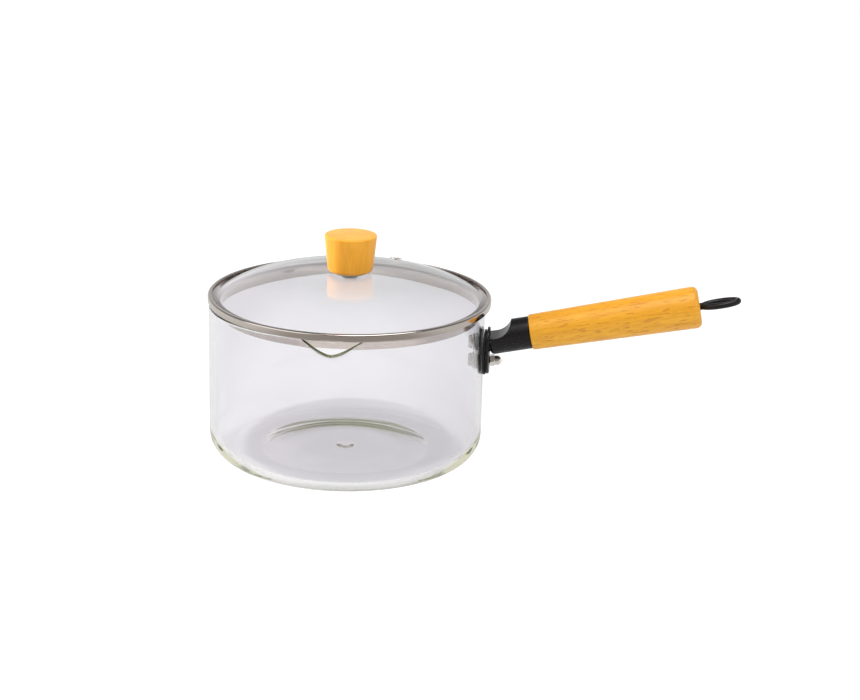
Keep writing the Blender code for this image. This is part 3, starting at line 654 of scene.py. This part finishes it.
# %% Lid dome
LID_GLASS = 2.8 * MM
SHEET = 0.5 * MM
RIM_OUTER = POT_RADIUS + 2.1 * MM
RIM_ROOF = 2.4 * MM
RIM_LIP = RIM_OUTER - RIM_ROOF
GLASS_EDGE_LOW = SHEET + SEAT
GLASS_EDGE_HIGH = GLASS_EDGE_LOW + LID_GLASS
GLASS_EDGE_RADIUS = RIM_OUTER - SHEET - SEAT * 4 / 3
GLASS_EDGE_ROUND = 0.8 * MM
RIM_HEIGHT = GLASS_EDGE_HIGH + SEAT + SHEET
DOME_RADIUS = RIM_LIP - 2.7 * MM
DOME_RISE = 13.6 * MM
DOME_POWER = 3.5
rim_low, rim_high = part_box("lid_rim")
LID_X = (rim_low.x + rim_high.x) / 2
LID_SEAT_Z = rim_high.z - RIM_HEIGHT
LID = Matrix.Translation((LID_X, 0, LID_SEAT_Z))


def dome_height(radius):
    """Top surface of the lid's glass, above the rim's seat."""
    return GLASS_EDGE_HIGH + DOME_RISE * (1 - min(radius / DOME_RADIUS, 1.0) ** DOME_POWER)


def dome_normal(radius):
    """Outward normal of the dome as (outwards, up)."""
    slope = DOME_RISE * DOME_POWER * (radius / DOME_RADIUS) ** (DOME_POWER - 1) / DOME_RADIUS
    length = math.hypot(slope, 1)
    return slope / length, 1 / length


def dome_outline(steps):
    """Section of the pane: a dome of even thickness with a flat, rounded edge."""
    hole = GLASS_HOLE_RADIUS
    top, under = [], []
    for i in range(steps + 1):
        radius = hole + (DOME_RADIUS - hole) * i / steps
        out, up = dome_normal(radius)
        top.append((radius, dome_height(radius)))
        under.append((radius - out * LID_GLASS, dome_height(radius) - up * LID_GLASS))
    under[0] = (hole, under[0][1])
    turn = GLASS_EDGE_ROUND
    edge = GLASS_EDGE_RADIUS - turn
    top += arc((edge, GLASS_EDGE_HIGH - turn), turn, 90, 0, 6)
    top += arc((edge, GLASS_EDGE_LOW + turn), turn, 0, -90, 6)
    return top + under[::-1]


print("lid seat at", round(LID_SEAT_Z, 4), "and", round(LID_X, 4), "along the handle's line")

# %% Vent hole and pane
VENT_DISTANCE = DOME_RADIUS - 22.5 * MM
VENT_AZIMUTH = math.radians(67)
VENT_BORE = 2.2 * MM
VENT_SHEET = 0.6 * MM
VENT_TUBE = VENT_BORE + VENT_SHEET
VENT_HOLE = VENT_TUBE + SEAT
VENT_FLANGE = VENT_HOLE + 0.9 * MM
out, up = dome_normal(VENT_DISTANCE)
vent_foot = (VENT_DISTANCE * math.cos(VENT_AZIMUTH), VENT_DISTANCE * math.sin(VENT_AZIMUTH),
             dome_height(VENT_DISTANCE))
VENT = (LID @ Matrix.Translation(vent_foot) @ Matrix.Rotation(VENT_AZIMUTH, 4, "Z")
        @ Matrix.Rotation(math.atan2(out, up), 4, "Y"))
pane_mesh = turned("lid_pane", dome_outline(64), 256, crease=GLASS_CREASE)
pane_mesh.transform(LID)
vent_drill = turned("vent_drill", disc(VENT_HOLE, -LID_GLASS * 2, LID_GLASS * 2), 48)
pane_mesh = cut(pane_mesh, "DIFFERENCE", [(vent_drill, VENT)])
add_piece("lid_pane", pane_mesh, lid_pane_glass, "lid", "lid_glass")

# %% [markdown]
# Stainless steel mirrors the room, so its colour is plain and the room draws the lines in it.
# Its finish is a soft polish: faint marks, squeezed along Z so that they run round the piece,
# make the gloss a little uneven and raise the surface by a hair.

# %% Steel
ROLLED = (1, 1, 6)


def polished_steel(name, colour, roughness, scale):
    """Polished stainless steel with faint marks of rolling."""
    material, tree, shader = start_material(name, {"Base Color": (*colour, 1), "Metallic": 1.0})
    marks = object_noise(tree, scale, ROLLED, 3.0)
    uneven_gloss(tree, shader, marks, *roughness)
    add_bump(tree, shader, marks, 0.15, 0.05 * MM)
    return material


rim_steel = polished_steel("rolled rim steel", (0.57, 0.52, 0.475), (0.08, 0.15), 120.0)
screw_steel = polished_steel("screw steel", (0.56, 0.54, 0.51), (0.06, 0.14), 300.0)
nut_steel = polished_steel("bright nut steel", (0.95, 0.92, 0.89), (0.10, 0.18), 300.0)
print("steel:", rim_steel.name, screw_steel.name, nut_steel.name)

# %% [markdown]
# The rim is one strip of sheet, rolled into a channel round the glass, with a skirt that drops
# inside the pot and centres the lid. The vent is an eyelet through the pane, with a flange on
# either side.

# %% Lid rim
SKIRT_PLAY = 2.5 * MM
SKIRT_RADIUS = POT_RADIUS - WALL - SKIRT_PLAY
SKIRT_DEPTH = 6.2 * MM
RIM_ROUND = 1.0 * MM


def rim_outline():
    """Section of the rolled strip, with round bends."""
    turn = RIM_ROUND
    bend = turn - SHEET
    skirt_in = SKIRT_RADIUS - SHEET
    inner = RIM_OUTER - SHEET
    roof = RIM_HEIGHT - SHEET
    outline = arc((RIM_LIP + SHEET / 2, RIM_HEIGHT - SHEET / 2), SHEET / 2, 270, 90, 6)
    outline += arc((RIM_OUTER - turn, RIM_HEIGHT - turn), turn, 90, 0, 10)
    outline += arc((RIM_OUTER - turn, turn), turn, 0, -90, 10)
    outline += arc((SKIRT_RADIUS + bend, -bend), bend, 90, 180, 6)
    outline += arc((SKIRT_RADIUS - SHEET / 2, SHEET / 2 - SKIRT_DEPTH), SHEET / 2, 0, -180, 6)
    outline += arc((skirt_in + turn, SHEET - turn), turn, 180, 90, 8)
    outline += arc((inner - bend, SHEET + bend), bend, -90, 0, 6)
    return outline + arc((inner - bend, roof - bend), bend, 0, 90, 6)


rim_mesh = turned("rolled_rim", rim_outline(), 256)
add_piece("rolled_rim", rim_mesh, rim_steel, "lid", "lid_rim", LID)

# %% Steam vent
VENT_FLARE = 0.3 * MM
VENT_FLARE_DEPTH = 0.2 * MM
vent_under = -LID_GLASS - SEAT
vent_over = SEAT + VENT_SHEET
vent_round = VENT_SHEET / 2
vent_outline = [(VENT_BORE, vent_under - VENT_SHEET)]
vent_outline += arc((VENT_FLANGE - vent_round, vent_under - vent_round), vent_round, -90, 90, 8)
vent_outline += [(VENT_TUBE, vent_under), (VENT_TUBE, SEAT)]
vent_outline += arc((VENT_FLANGE - vent_round, SEAT + vent_round), vent_round, -90, 90, 8)
vent_outline += [(VENT_BORE + VENT_FLARE, vent_over), (VENT_BORE, vent_over - VENT_FLARE_DEPTH)]
vent_mesh = turned("vent_ring", vent_outline, 64)
add_piece("vent_ring", vent_mesh, nut_steel, "lid", "vent_eyelet", VENT)

# %% [markdown]
# Beech is pale, warm and close grained. Its sign is the short dark flecks that lie along the
# grain. The grain runs along each turned piece's axis, so the noise is stretched along the
# piece's own Z, and the flecks are the few high spots of a finer noise.

# %% Beech
FLECK_COLOUR = (0.38, 0.11, 0.005)
BANDS, PORES, FLECKS = 70.0, 700.0, 1300.0
FLECK_STRETCH = 0.13


def oiled_beech(name, dark, light, grain, fleck):
    """Beech with growth bands, fine pores and dark flecks along the piece's axis."""
    material, tree, shader = start_material(name, {
        "Roughness": 0.40, "Specular IOR Level": 0.5, "Sheen Weight": 0.1, "Sheen Roughness": 0.4})
    bands = object_noise(tree, BANDS, (1, 1, grain), 3.0, 0.6)
    pores = object_noise(tree, PORES, (1, 1, grain), 2.0, 0.6)
    flecks = object_noise(tree, FLECKS, (1, 1, FLECK_STRETCH), 1.0, 0.5)
    wood = ramp(tree, bands, [(0.30, dark), (0.70, light)])
    fine = ramp(tree, pores, [(0.40, 0.0), (0.66, 0.8)])
    wood = colour_mix(tree, fine, wood, dark)
    spots = ramp(tree, flecks, [(0.61, 0.0), (0.67, fleck)])
    wood = colour_mix(tree, spots, wood, FLECK_COLOUR)
    tree.links.new(wood, shader.inputs["Base Color"])
    add_bump(tree, shader, pores, 0.12, 0.2 * MM)
    return material


grip_beech = oiled_beech("oiled beech grip", dark=(0.65, 0.272, 0.008), light=(0.83, 0.422, 0.021),
                         grain=0.09, fleck=0.55)
knob_beech = oiled_beech("oiled beech knob", dark=(0.82, 0.335, 0.016), light=(0.97, 0.465, 0.034),
                         grain=0.05, fleck=0.0)
print("wood:", grip_beech.name, "and", knob_beech.name)

# %% [markdown]
# The knob is a short cone that widens to its top, with a small round there and a larger one at
# its foot. A pocket is bored from below for its brass bush.

# %% Knob
KNOB_BASE_RADIUS = 13.6 * MM
KNOB_TOP_RADIUS = 15.55 * MM
KNOB_HEIGHT = 22.4 * MM
KNOB_BASE_ROUND = 2.4 * MM
KNOB_TOP_ROUND = 0.9 * MM
knob_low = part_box("lid_knob")[0]
KNOB = Matrix.Translation((LID_X, 0, knob_low.z))
slant = math.degrees(math.atan2(KNOB_TOP_RADIUS - KNOB_BASE_RADIUS, KNOB_HEIGHT))
insert_low, insert_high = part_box("knob_insert")
pocket = (insert_high.x - insert_low.x) / 2 + SEAT
ceiling = insert_high.z - knob_low.z + SEAT
foot = (KNOB_BASE_RADIUS - KNOB_BASE_ROUND, KNOB_BASE_ROUND)
crown = (KNOB_TOP_RADIUS - KNOB_TOP_ROUND, KNOB_HEIGHT - KNOB_TOP_ROUND)
knob_outline = [(pocket, 0)]
knob_outline += arc(foot, KNOB_BASE_ROUND, -90, -slant, 12)
knob_outline += arc(crown, KNOB_TOP_ROUND, -slant, 90, 8)
knob_outline += [(0, KNOB_HEIGHT), (0, ceiling), (pocket, ceiling)]
knob_mesh = turned("beech_knob", knob_outline, 128)
add_piece("beech_knob", knob_mesh, knob_beech, "lid", "lid_knob", KNOB)

# %% [markdown]
# The grip is turned, thicker towards its end, with a wide round at the tip. It slopes upwards
# from the pot, so it gets its own matrix: Z runs along the grip from the pot's wall.

# %% Grip
HANDLE_AXIS_Z = POT_HEIGHT - 19.8 * MM
HANDLE_SLOPE = math.radians(11.85)
HANDLE_START = Matrix.Translation((POT_RADIUS, 0, HANDLE_AXIS_Z))
HANDLE = HANDLE_START @ Matrix.Rotation(math.pi / 2 - HANDLE_SLOPE, 4, "Y")
FERRULE_RADIUS = 9.75 * MM
NECK_LENGTH = 17.6 * MM
FERRULE_END = NECK_LENGTH + 10.4 * MM
GRIP_LENGTH = 101.1 * MM
GRIP_ROOT_RADIUS = FERRULE_RADIUS + 0.9 * MM
GRIP_TIP_RADIUS = GRIP_ROOT_RADIUS + 1.8 * MM
GRIP_TIP_ROUND = 3.6 * MM
GRIP_ROOT_ROUND = 0.8 * MM
GRIP_START = FERRULE_END + SEAT
GRIP_END = GRIP_START + GRIP_LENGTH
ROD_RADIUS = 2.1 * MM
ROD_PLAY = 0.4 * MM
grip_bore = ROD_RADIUS + ROD_PLAY
root = (GRIP_ROOT_RADIUS - GRIP_ROOT_ROUND, GRIP_START + GRIP_ROOT_ROUND)
tip = (GRIP_TIP_RADIUS - GRIP_TIP_ROUND, GRIP_END - GRIP_TIP_ROUND)
grip_outline = [(grip_bore, GRIP_START)]
grip_outline += arc(root, GRIP_ROOT_ROUND, -90, 0, 8)
grip_outline += arc(tip, GRIP_TIP_ROUND, 0, 90, 16)
grip_outline += [(grip_bore, GRIP_END)]
grip_mesh = turned("turned_grip", grip_outline, 128)
add_piece("turned_grip", grip_mesh, grip_beech, "pan", "beech_grip", HANDLE)

# %% [markdown]
# The three blacks are one kind of finish, with a slightly uneven gloss and a very fine grain.
# They differ in tint and in gloss.

# %% Black finishes
def satin_black(name, colour, roughness):
    """Black with a satin sheen and a very fine grain."""
    material, tree, shader = start_material(name, {"Base Color": (*colour, 1), "Specular IOR Level": 0.3})
    speckle = object_noise(tree, 900.0)
    uneven_gloss(tree, shader, speckle, *roughness)
    add_bump(tree, shader, speckle, 0.05, 0.1 * MM)
    return material


black_steel = satin_black("blackened steel", (0.010, 0.009, 0.009), (0.24, 0.34))
phenolic = satin_black("black phenolic", (0.009, 0.008, 0.009), (0.24, 0.34))
black_silicone = satin_black("black silicone", (0.010, 0.010, 0.011), (0.45, 0.55))
print("black:", black_steel.name, phenolic.name, black_silicone.name)

# %% [markdown]
# A black rod runs through the grip and ends in an eye, which is bent from round wire into a
# long oval. The wire is swept along that path and joined to the rod.

# %% Hanging eye
ROD_SOCKET = 8.0 * MM
ROD_BEVEL = 0.4 * MM
EYE_WIRE = 1.8 * MM
EYE_HALF_LENGTH = 10.4 * MM
EYE_HALF_WIDTH = 4.9 * MM
EYE_NECK = 1.8 * MM
EYE_STEPS = 96
WIRE_CREASE = 60


def ring_tube(name, path, radius, sides):
    """A round wire that follows a closed path in the YZ plane."""
    def build(shape):
        count = len(path)
        rings = []
        for i, point in enumerate(path):
            before = (point - path[i - 1]).normalized()
            after = (path[(i + 1) % count] - point).normalized()
            side = Vector((0, -(before + after).z, (before + after).y)).normalized()
            stretch = 1 / side.dot(Vector((0, -after.z, after.y)))
            ring = []
            for turn in even_angles(sides, math.pi / sides):
                offset = side * radius * stretch * math.cos(turn)
                offset += Vector((radius * math.sin(turn), 0, 0))
                ring.append(shape.verts.new(point + offset))
            rings.append(ring)
        for low, high in zip(rings, rings[1:] + rings[:1]):
            for k in range(sides):
                m = (k + 1) % sides
                shape.faces.new((low[k], low[m], high[m], high[k]))

    return mesh_from(name, build, WIRE_CREASE)


rod_low = FERRULE_END - ROD_SOCKET
rod_high = GRIP_END + EYE_NECK + EYE_WIRE
rod_mesh = turned("rod_and_eye", disc(ROD_RADIUS, rod_low, rod_high, bevel=ROD_BEVEL), 48)
eye_centre = GRIP_END + EYE_NECK + EYE_HALF_LENGTH
eye_path = [Vector((0, EYE_HALF_WIDTH * y, eye_centre + EYE_HALF_LENGTH * x))
            for x, y in arc((0, 0), 1, -180, 180 - 360 / EYE_STEPS, EYE_STEPS - 1)]
eye_mesh = ring_tube("eye", eye_path, EYE_WIRE, 32)
rod_mesh = cut(rod_mesh, "UNION", [(eye_mesh, HERE)])
add_piece("rod_and_eye", rod_mesh, black_steel, "pan", "hanging_rod", HANDLE)

# %% [markdown]
# The bracket is one moulding in black phenolic: a flange that follows the pot, a half-round neck
# scooped out on top, and a round ferrule for the grip. The rough shapes are joined first and then
# rebuilt on a fine grid and smoothed, which leaves the small soft edges that a mould gives.

# %% Bracket sizes
GASKET_THICKNESS = 1.4 * MM
FLANGE_THICKNESS = 1.8 * MM
FLANGE_HALF_WIDTH = 10.4 * MM
FLANGE_CORNER = 9.4 * MM
FLANGE_EDGE_ROUND = 0.9 * MM
GASKET_INNER = POT_RADIUS + SEAT
GASKET_OUTER = GASKET_INNER + GASKET_THICKNESS
FLANGE_INNER = GASKET_OUTER + SEAT
FLANGE_OUTER = FLANGE_INNER + FLANGE_THICKNESS
NECK_START = FLANGE_OUTER - POT_RADIUS - 0.8 * MM
NECK_END_ROUND = 2.2 * MM
NECK_BORE_DEPTH = 5.0 * MM
FLANGE_HIGH = UPPER_BOLT_Z + 9.0 * MM
FLANGE_LOW = LOWER_BOLT_Z - 7.9 * MM
GASKET_HIGH = FLANGE_HIGH - 1.8 * MM
GASKET_LOW = FLANGE_LOW - 0.6 * MM
print("flange", round((FLANGE_HIGH - FLANGE_LOW) / MM, 1), "mm high")

# %% Curved plates
PLATE_STEPS = 24


def plate_outline(half_width, low, high, corner):
    """Outline (y, z) of a plate with rounded corners."""
    side, top, bottom = half_width - corner, high - corner, low + corner
    between = range(1, PLATE_STEPS)
    outline = arc((side, top), corner, 0, 90, PLATE_STEPS)
    outline += arc((-side, top), corner, 90, 180, PLATE_STEPS)
    outline += [(-half_width, top + (bottom - top) * i / PLATE_STEPS) for i in between]
    outline += arc((-side, bottom), corner, 180, 270, PLATE_STEPS)
    outline += arc((side, bottom), corner, 270, 360, PLATE_STEPS)
    return outline + [(half_width, bottom + (top - bottom) * i / PLATE_STEPS) for i in between]


def saddle(name, half_width, low, high, section):
    """A plate curved to fit round the pot's wall, with a section of (inset, reach) points."""
    def build(shape):
        rows = []
        for inset, reach in section:
            outline = plate_outline(half_width - inset, low + inset, high - inset, FLANGE_CORNER - inset)
            rows.append([shape.verts.new((math.sqrt(reach ** 2 - y ** 2), y, z)) for y, z in outline])
        count = len(rows[0])
        for row, following in zip(rows, rows[1:]):
            for i in range(count):
                j = (i + 1) % count
                shape.faces.new((row[i], row[j], following[j], following[i]))
        for row, reach in ((rows[0], section[0][1]), (rows[-1], section[-1][1])):
            hub = shape.verts.new((reach, 0, (low + high) / 2))
            for i in range(count):
                shape.faces.new((row[i], row[(i + 1) % count], hub))

    return mesh_from(name, build)


def plate_section(inner, outer, edge, steps=6):
    """Section of the flange or the gasket, with rounded outer edges."""
    insets = [FLANGE_CORNER * share for share in (0.95, 0.75, 0.5, 0.25)]
    section = [(inset, inner) for inset in insets] + [(0, inner)]
    section += [(edge - x, z) for x, z in arc((0, outer - edge), edge, 0, 90, steps)]
    return section + [(inset, outer) for inset in reversed(insets)]


print("a plate's corners turn in", PLATE_STEPS, "steps")

# %% Scoop
SCOOP_REACH = 10.4 * MM
SCOOP_HEIGHT = 2.3 * MM
SCOOP_TILT = math.radians(3.7)
SCOOP = (HANDLE_START @ Matrix.Rotation(-HANDLE_SLOPE, 4, "Y")
         @ Matrix.Translation((0, 0, SCOOP_HEIGHT))
         @ Matrix.Rotation(SCOOP_TILT, 4, "Y") @ Matrix.Rotation(math.pi / 2, 4, "X"))


def scoop_outline():
    """The cut over the neck: a flat that sweeps up to the top of the ferrule."""
    above = FERRULE_RADIUS * 3
    rise = FERRULE_RADIUS * 1.2 - SCOOP_HEIGHT + NECK_LENGTH * math.tan(SCOOP_TILT)
    sweep = []
    for x, y in arc((0, 0), 1, -90, 0, 32):
        sweep.append((NECK_LENGTH - SCOOP_REACH * (1 - x), rise * (1 + y)))
    return [(-above, above), (-above, 0)] + sweep + [(NECK_LENGTH, above)]


scoop = prism("scoop", scoop_outline(), -FERRULE_RADIUS * 2, FERRULE_RADIUS * 2)
print("the neck is scooped from", round(SCOOP_HEIGHT / MM, 1), "mm over its axis")

# %% Bracket
MOULD_GRID = 0.30 * MM
MOULD_ROUNDS = 5


def moulded(mesh, grid, rounds):
    """Rebuild a mesh on a fine grid and smooth it, so that its edges and corners turn soft."""
    piece = put("work", mesh)
    remesh = piece.modifiers.new("grid", "REMESH")
    remesh.mode = "VOXEL"
    remesh.voxel_size = grid
    smooth = piece.modifiers.new("soft edges", "SMOOTH")
    smooth.factor = 0.5
    smooth.iterations = rounds
    return applied(piece)


bar = [(0, NECK_START)]
bar += arc((FERRULE_RADIUS - NECK_END_ROUND, NECK_START + NECK_END_ROUND), NECK_END_ROUND, -90, 0, 12)
bar += [(FERRULE_RADIUS, FERRULE_END), (0, FERRULE_END)]
bracket_mesh = turned("moulded_bracket", bar, 128)
bracket_mesh.transform(HANDLE)
bracket_mesh = cut(bracket_mesh, "DIFFERENCE", [(scoop, SCOOP)])
flange_section = plate_section(FLANGE_INNER, FLANGE_OUTER, FLANGE_EDGE_ROUND)
flange = saddle("flange", FLANGE_HALF_WIDTH, FLANGE_LOW, FLANGE_HIGH, flange_section)
bracket_mesh = cut(bracket_mesh, "UNION", [(flange, HERE)])
bracket_mesh = moulded(bracket_mesh, MOULD_GRID, MOULD_ROUNDS)
bores = []
for radius, reach, height in (
        (BOLT_RADIUS + BOLT_PLAY / 2, NECK_START + NECK_BORE_DEPTH + POT_RADIUS, UPPER_BOLT_Z),
        (BOLT_HOLE, FLANGE_OUTER + SEAT, LOWER_BOLT_Z)):
    bores.append((turned("bore", disc(radius, 0, reach), 32), lying((0, 0, height))))
bracket_mesh = cut(bracket_mesh, "DIFFERENCE", bores)
add_piece("moulded_bracket", bracket_mesh, phenolic, "pan", "handle_bracket")

# %% [markdown]
# A thin pad of black silicone, about as large as the flange, lies between it and the glass.

# %% Gasket
GASKET_EDGE_ROUND = 0.3 * MM
gasket_section = plate_section(GASKET_INNER, GASKET_OUTER, GASKET_EDGE_ROUND, 4)
gasket_mesh = saddle("flange_gasket", FLANGE_HALF_WIDTH, GASKET_LOW, GASKET_HIGH, gasket_section)
through = turned("bore", disc(BOLT_HOLE, -WALL, GASKET_THICKNESS * 3), 32)
passages = [(through, lying((POT_RADIUS, 0, height))) for height in (UPPER_BOLT_Z, LOWER_BOLT_Z)]
gasket_mesh = cut(gasket_mesh, "DIFFERENCE", passages)
add_piece("flange_gasket", gasket_mesh, black_silicone, "pan", "bracket_gasket")

# %% [markdown]
# Two pan head screws come through the glass from inside. The upper one ends in the neck, the
# lower one in a domed cap nut. Each has a steel washer and a milky silicone seal.

# %% Screws
HEAD_RADIUS = BOLT_RADIUS + 2.0 * MM
HEAD_HEIGHT = 2.4 * MM
HEAD_ROUND = 0.58
HEAD_BEVEL = 0.15 * MM
THREAD_START = 0.6 * MM
THREAD_END = 1.2 * MM
THREAD_PITCH = 0.7 * MM
THREAD_DEPTH = 0.3 * MM
POINT_BEVEL = 0.8 * MM
CROSS_REACH = 2.2 * MM
CROSS_HALF_SLOT = 0.45 * MM
CROSS_DEPTH = 0.54


def pan_head_screw(name, length, head=HEAD_HEIGHT):
    """A screw that points up, its head's seat at 0 and its cross recess below."""
    edge = head * HEAD_ROUND
    outline = [(0, -head)] + arc((HEAD_RADIUS - edge, edge - head), edge, -90, 0, 10)
    outline += [(HEAD_RADIUS, -HEAD_BEVEL), (HEAD_RADIUS - HEAD_BEVEL, 0), (BOLT_RADIUS, 0)]
    thread = THREAD_START
    while thread < length - THREAD_END:
        outline += [(BOLT_RADIUS, thread), (BOLT_RADIUS - THREAD_DEPTH, thread + THREAD_PITCH / 2)]
        thread += THREAD_PITCH
    outline += [(BOLT_RADIUS, length - POINT_BEVEL), (BOLT_RADIUS - POINT_BEVEL, length), (0, length)]
    screw = turned(name, outline, 48)
    slot = CROSS_HALF_SLOT
    arm = [(CROSS_REACH, -slot), (CROSS_REACH, slot), (slot, slot)]
    cross = []
    for _ in range(4):
        cross += arm
        arm = [(-y, x) for x, y in arm]
    recess = prism("recess", cross, -head * 2, head * (CROSS_DEPTH - 1))
    return cut(screw, "DIFFERENCE", [(recess, HERE)])


for prefix in ("upper", "lower"):
    low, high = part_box(prefix + "_bolt")
    face = low.x + HEAD_HEIGHT
    screw_mesh = pan_head_screw(prefix + "_screw", high.x - face)
    add_piece(prefix + "_screw", screw_mesh, screw_steel, "pan", prefix + "_bolt",
              lying((face, 0, (low.z + high.z) / 2)))

# %% [markdown]
# The seals are milky silicone that lets some light through. Each one is a ring with a sleeve
# that lines its hole in the glass. The washers are plain steel rings.

# %% Seals and washers
SEAL_THICKNESS = 2.0 * MM
SEAL_ROUND = 0.4 * MM
WASHER_BEVEL = 0.2 * MM
milky, tree, shader = start_material("milky silicone", {
    "Base Color": (0.74, 0.77, 0.72, 1), "Roughness": 0.35, "IOR": 1.41, "Transmission Weight": 0.55})
add_bump(tree, shader, object_noise(tree, 500.0), 0.1, 0.1 * MM)
for prefix in ("upper", "lower"):
    low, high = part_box(prefix + "_inner_seal")
    radius = (high.z - low.z) / 2
    sleeve = GLASS_HOLE_RADIUS - SEAT
    depth = high.x - low.x
    outline = [(BOLT_HOLE, 0)] + arc((radius - SEAL_ROUND, SEAL_ROUND), SEAL_ROUND, -90, 0, 5)
    outline += [(radius, SEAL_THICKNESS), (sleeve, SEAL_THICKNESS), (sleeve, depth), (BOLT_HOLE, depth)]
    add_piece(prefix + "_seal", turned(prefix + "_seal", outline, 64), milky, "pan",
              prefix + "_inner_seal", lying((low.x, 0, (low.z + high.z) / 2)))
    low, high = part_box(prefix + "_inner_washer")
    outline = disc((high.z - low.z) / 2, 0, high.x - low.x, BOLT_HOLE, WASHER_BEVEL)
    add_piece(prefix + "_washer", turned(prefix + "_washer", outline, 64), screw_steel, "pan",
              prefix + "_inner_washer", lying((low.x, 0, (low.z + high.z) / 2)))

# %% [markdown]
# The cap nut is a hexagon with a chamfer at both ends, joined to a round cap with a domed end.

# %% Cap nut
NUT_FLAT = BOLT_HOLE + 0.8 * MM
NUT_HEX = 2.7 * MM
NUT_COLLAR = 1.3 * MM
NUT_DOME_RADIUS = NUT_FLAT - 0.15 * MM
NUT_CROWN = 1.8 * MM
NUT_HEIGHT = NUT_HEX + NUT_COLLAR + NUT_DOME_RADIUS
NUT_CHAMFER_LOW = 0.4 * MM
NUT_CHAMFER_HIGH = 0.5 * MM
NUT_STEP = 0.1 * MM
NUT_STEP_HEIGHT = 0.2 * MM
nut_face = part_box("cap_nut")[0].x
corner = NUT_FLAT / math.cos(math.pi / 6)
hexagon = turned("cap_nut_hex", disc(corner, 0, NUT_HEX), even_angles(6, math.pi / 6))
chamfer = [(0, 0), (NUT_FLAT, 0), (corner, NUT_CHAMFER_LOW), (corner, NUT_HEX - NUT_CHAMFER_HIGH)]
chamfer += [(NUT_FLAT, NUT_HEX), (0, NUT_HEX)]
hexagon = cut(hexagon, "INTERSECT", [(turned("chamfer", chamfer, 96), HERE)])
collar = NUT_DOME_RADIUS - NUT_STEP
cap = [(0, NUT_HEX / 2), (collar, NUT_HEX / 2), (collar, NUT_HEX + NUT_STEP_HEIGHT)]
cap += arc((0, NUT_HEX + NUT_COLLAR), NUT_DOME_RADIUS, 0, 88, 20) + [(0, NUT_HEIGHT)]
nut_mesh = cut(hexagon, "UNION", [(turned("cap", cap, 64), HERE)])
nut_bore = turned("bore", disc(BOLT_HOLE, -NUT_HEX, NUT_HEIGHT - NUT_CROWN), 32)
nut_mesh = cut(nut_mesh, "DIFFERENCE", [(nut_bore, HERE)])
add_piece("domed_nut", nut_mesh, nut_steel, "pan", "cap_nut",
          lying((nut_face, 0, LOWER_BOLT_Z)))

# %% [markdown]
# A silicone washer lies on either side of the pane, and a steel one over the screw's head, which
# pulls the knob down from below.

# %% Under the knob
SOFT_BEVEL = 0.25 * MM
KNOB_HEAD_HEIGHT = 1.4 * MM
for name, node, material, slot, bevel in (
        ("knob_washer_soft", "knob_seal", milky, "clear_silicone", SOFT_BEVEL),
        ("under_pane_soft", "under_lid_seal", milky, "clear_silicone", SOFT_BEVEL),
        ("under_pane_washer", "under_lid_washer", nut_steel, "polished_steel", WASHER_BEVEL)):
    low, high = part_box(node)
    outline = disc((high.x - low.x) / 2, 0, high.z - low.z, BOLT_HOLE, bevel)
    add_piece(name, turned(name, outline, 64), material, "lid", node,
              Matrix.Translation((LID_X, 0, low.z)))
low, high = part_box("knob_bolt")
head_seat = low.z + KNOB_HEAD_HEIGHT
screw_mesh = pan_head_screw("knob_screw", high.z - head_seat, KNOB_HEAD_HEIGHT)
add_piece("knob_screw", screw_mesh, nut_steel, "lid", "knob_bolt",
          Matrix.Translation((LID_X, 0, head_seat)))

# %% [markdown]
# The two brass bushes are hidden in the ferrule and in the knob. Their solids are already
# right, so they only get a finish, through their own material slots.

# %% Brass bushes
brass, tree, shader = start_material("machined brass", {
    "Base Color": (0.66, 0.49, 0.20, 1), "Metallic": 1.0})
uneven_gloss(tree, shader, object_noise(tree, 700.0), 0.24, 0.38)
for name in ("rod_insert", "knob_insert"):
    for slot in nodes[name].material_slots:
        slot.material = brass
    print("brass on", name)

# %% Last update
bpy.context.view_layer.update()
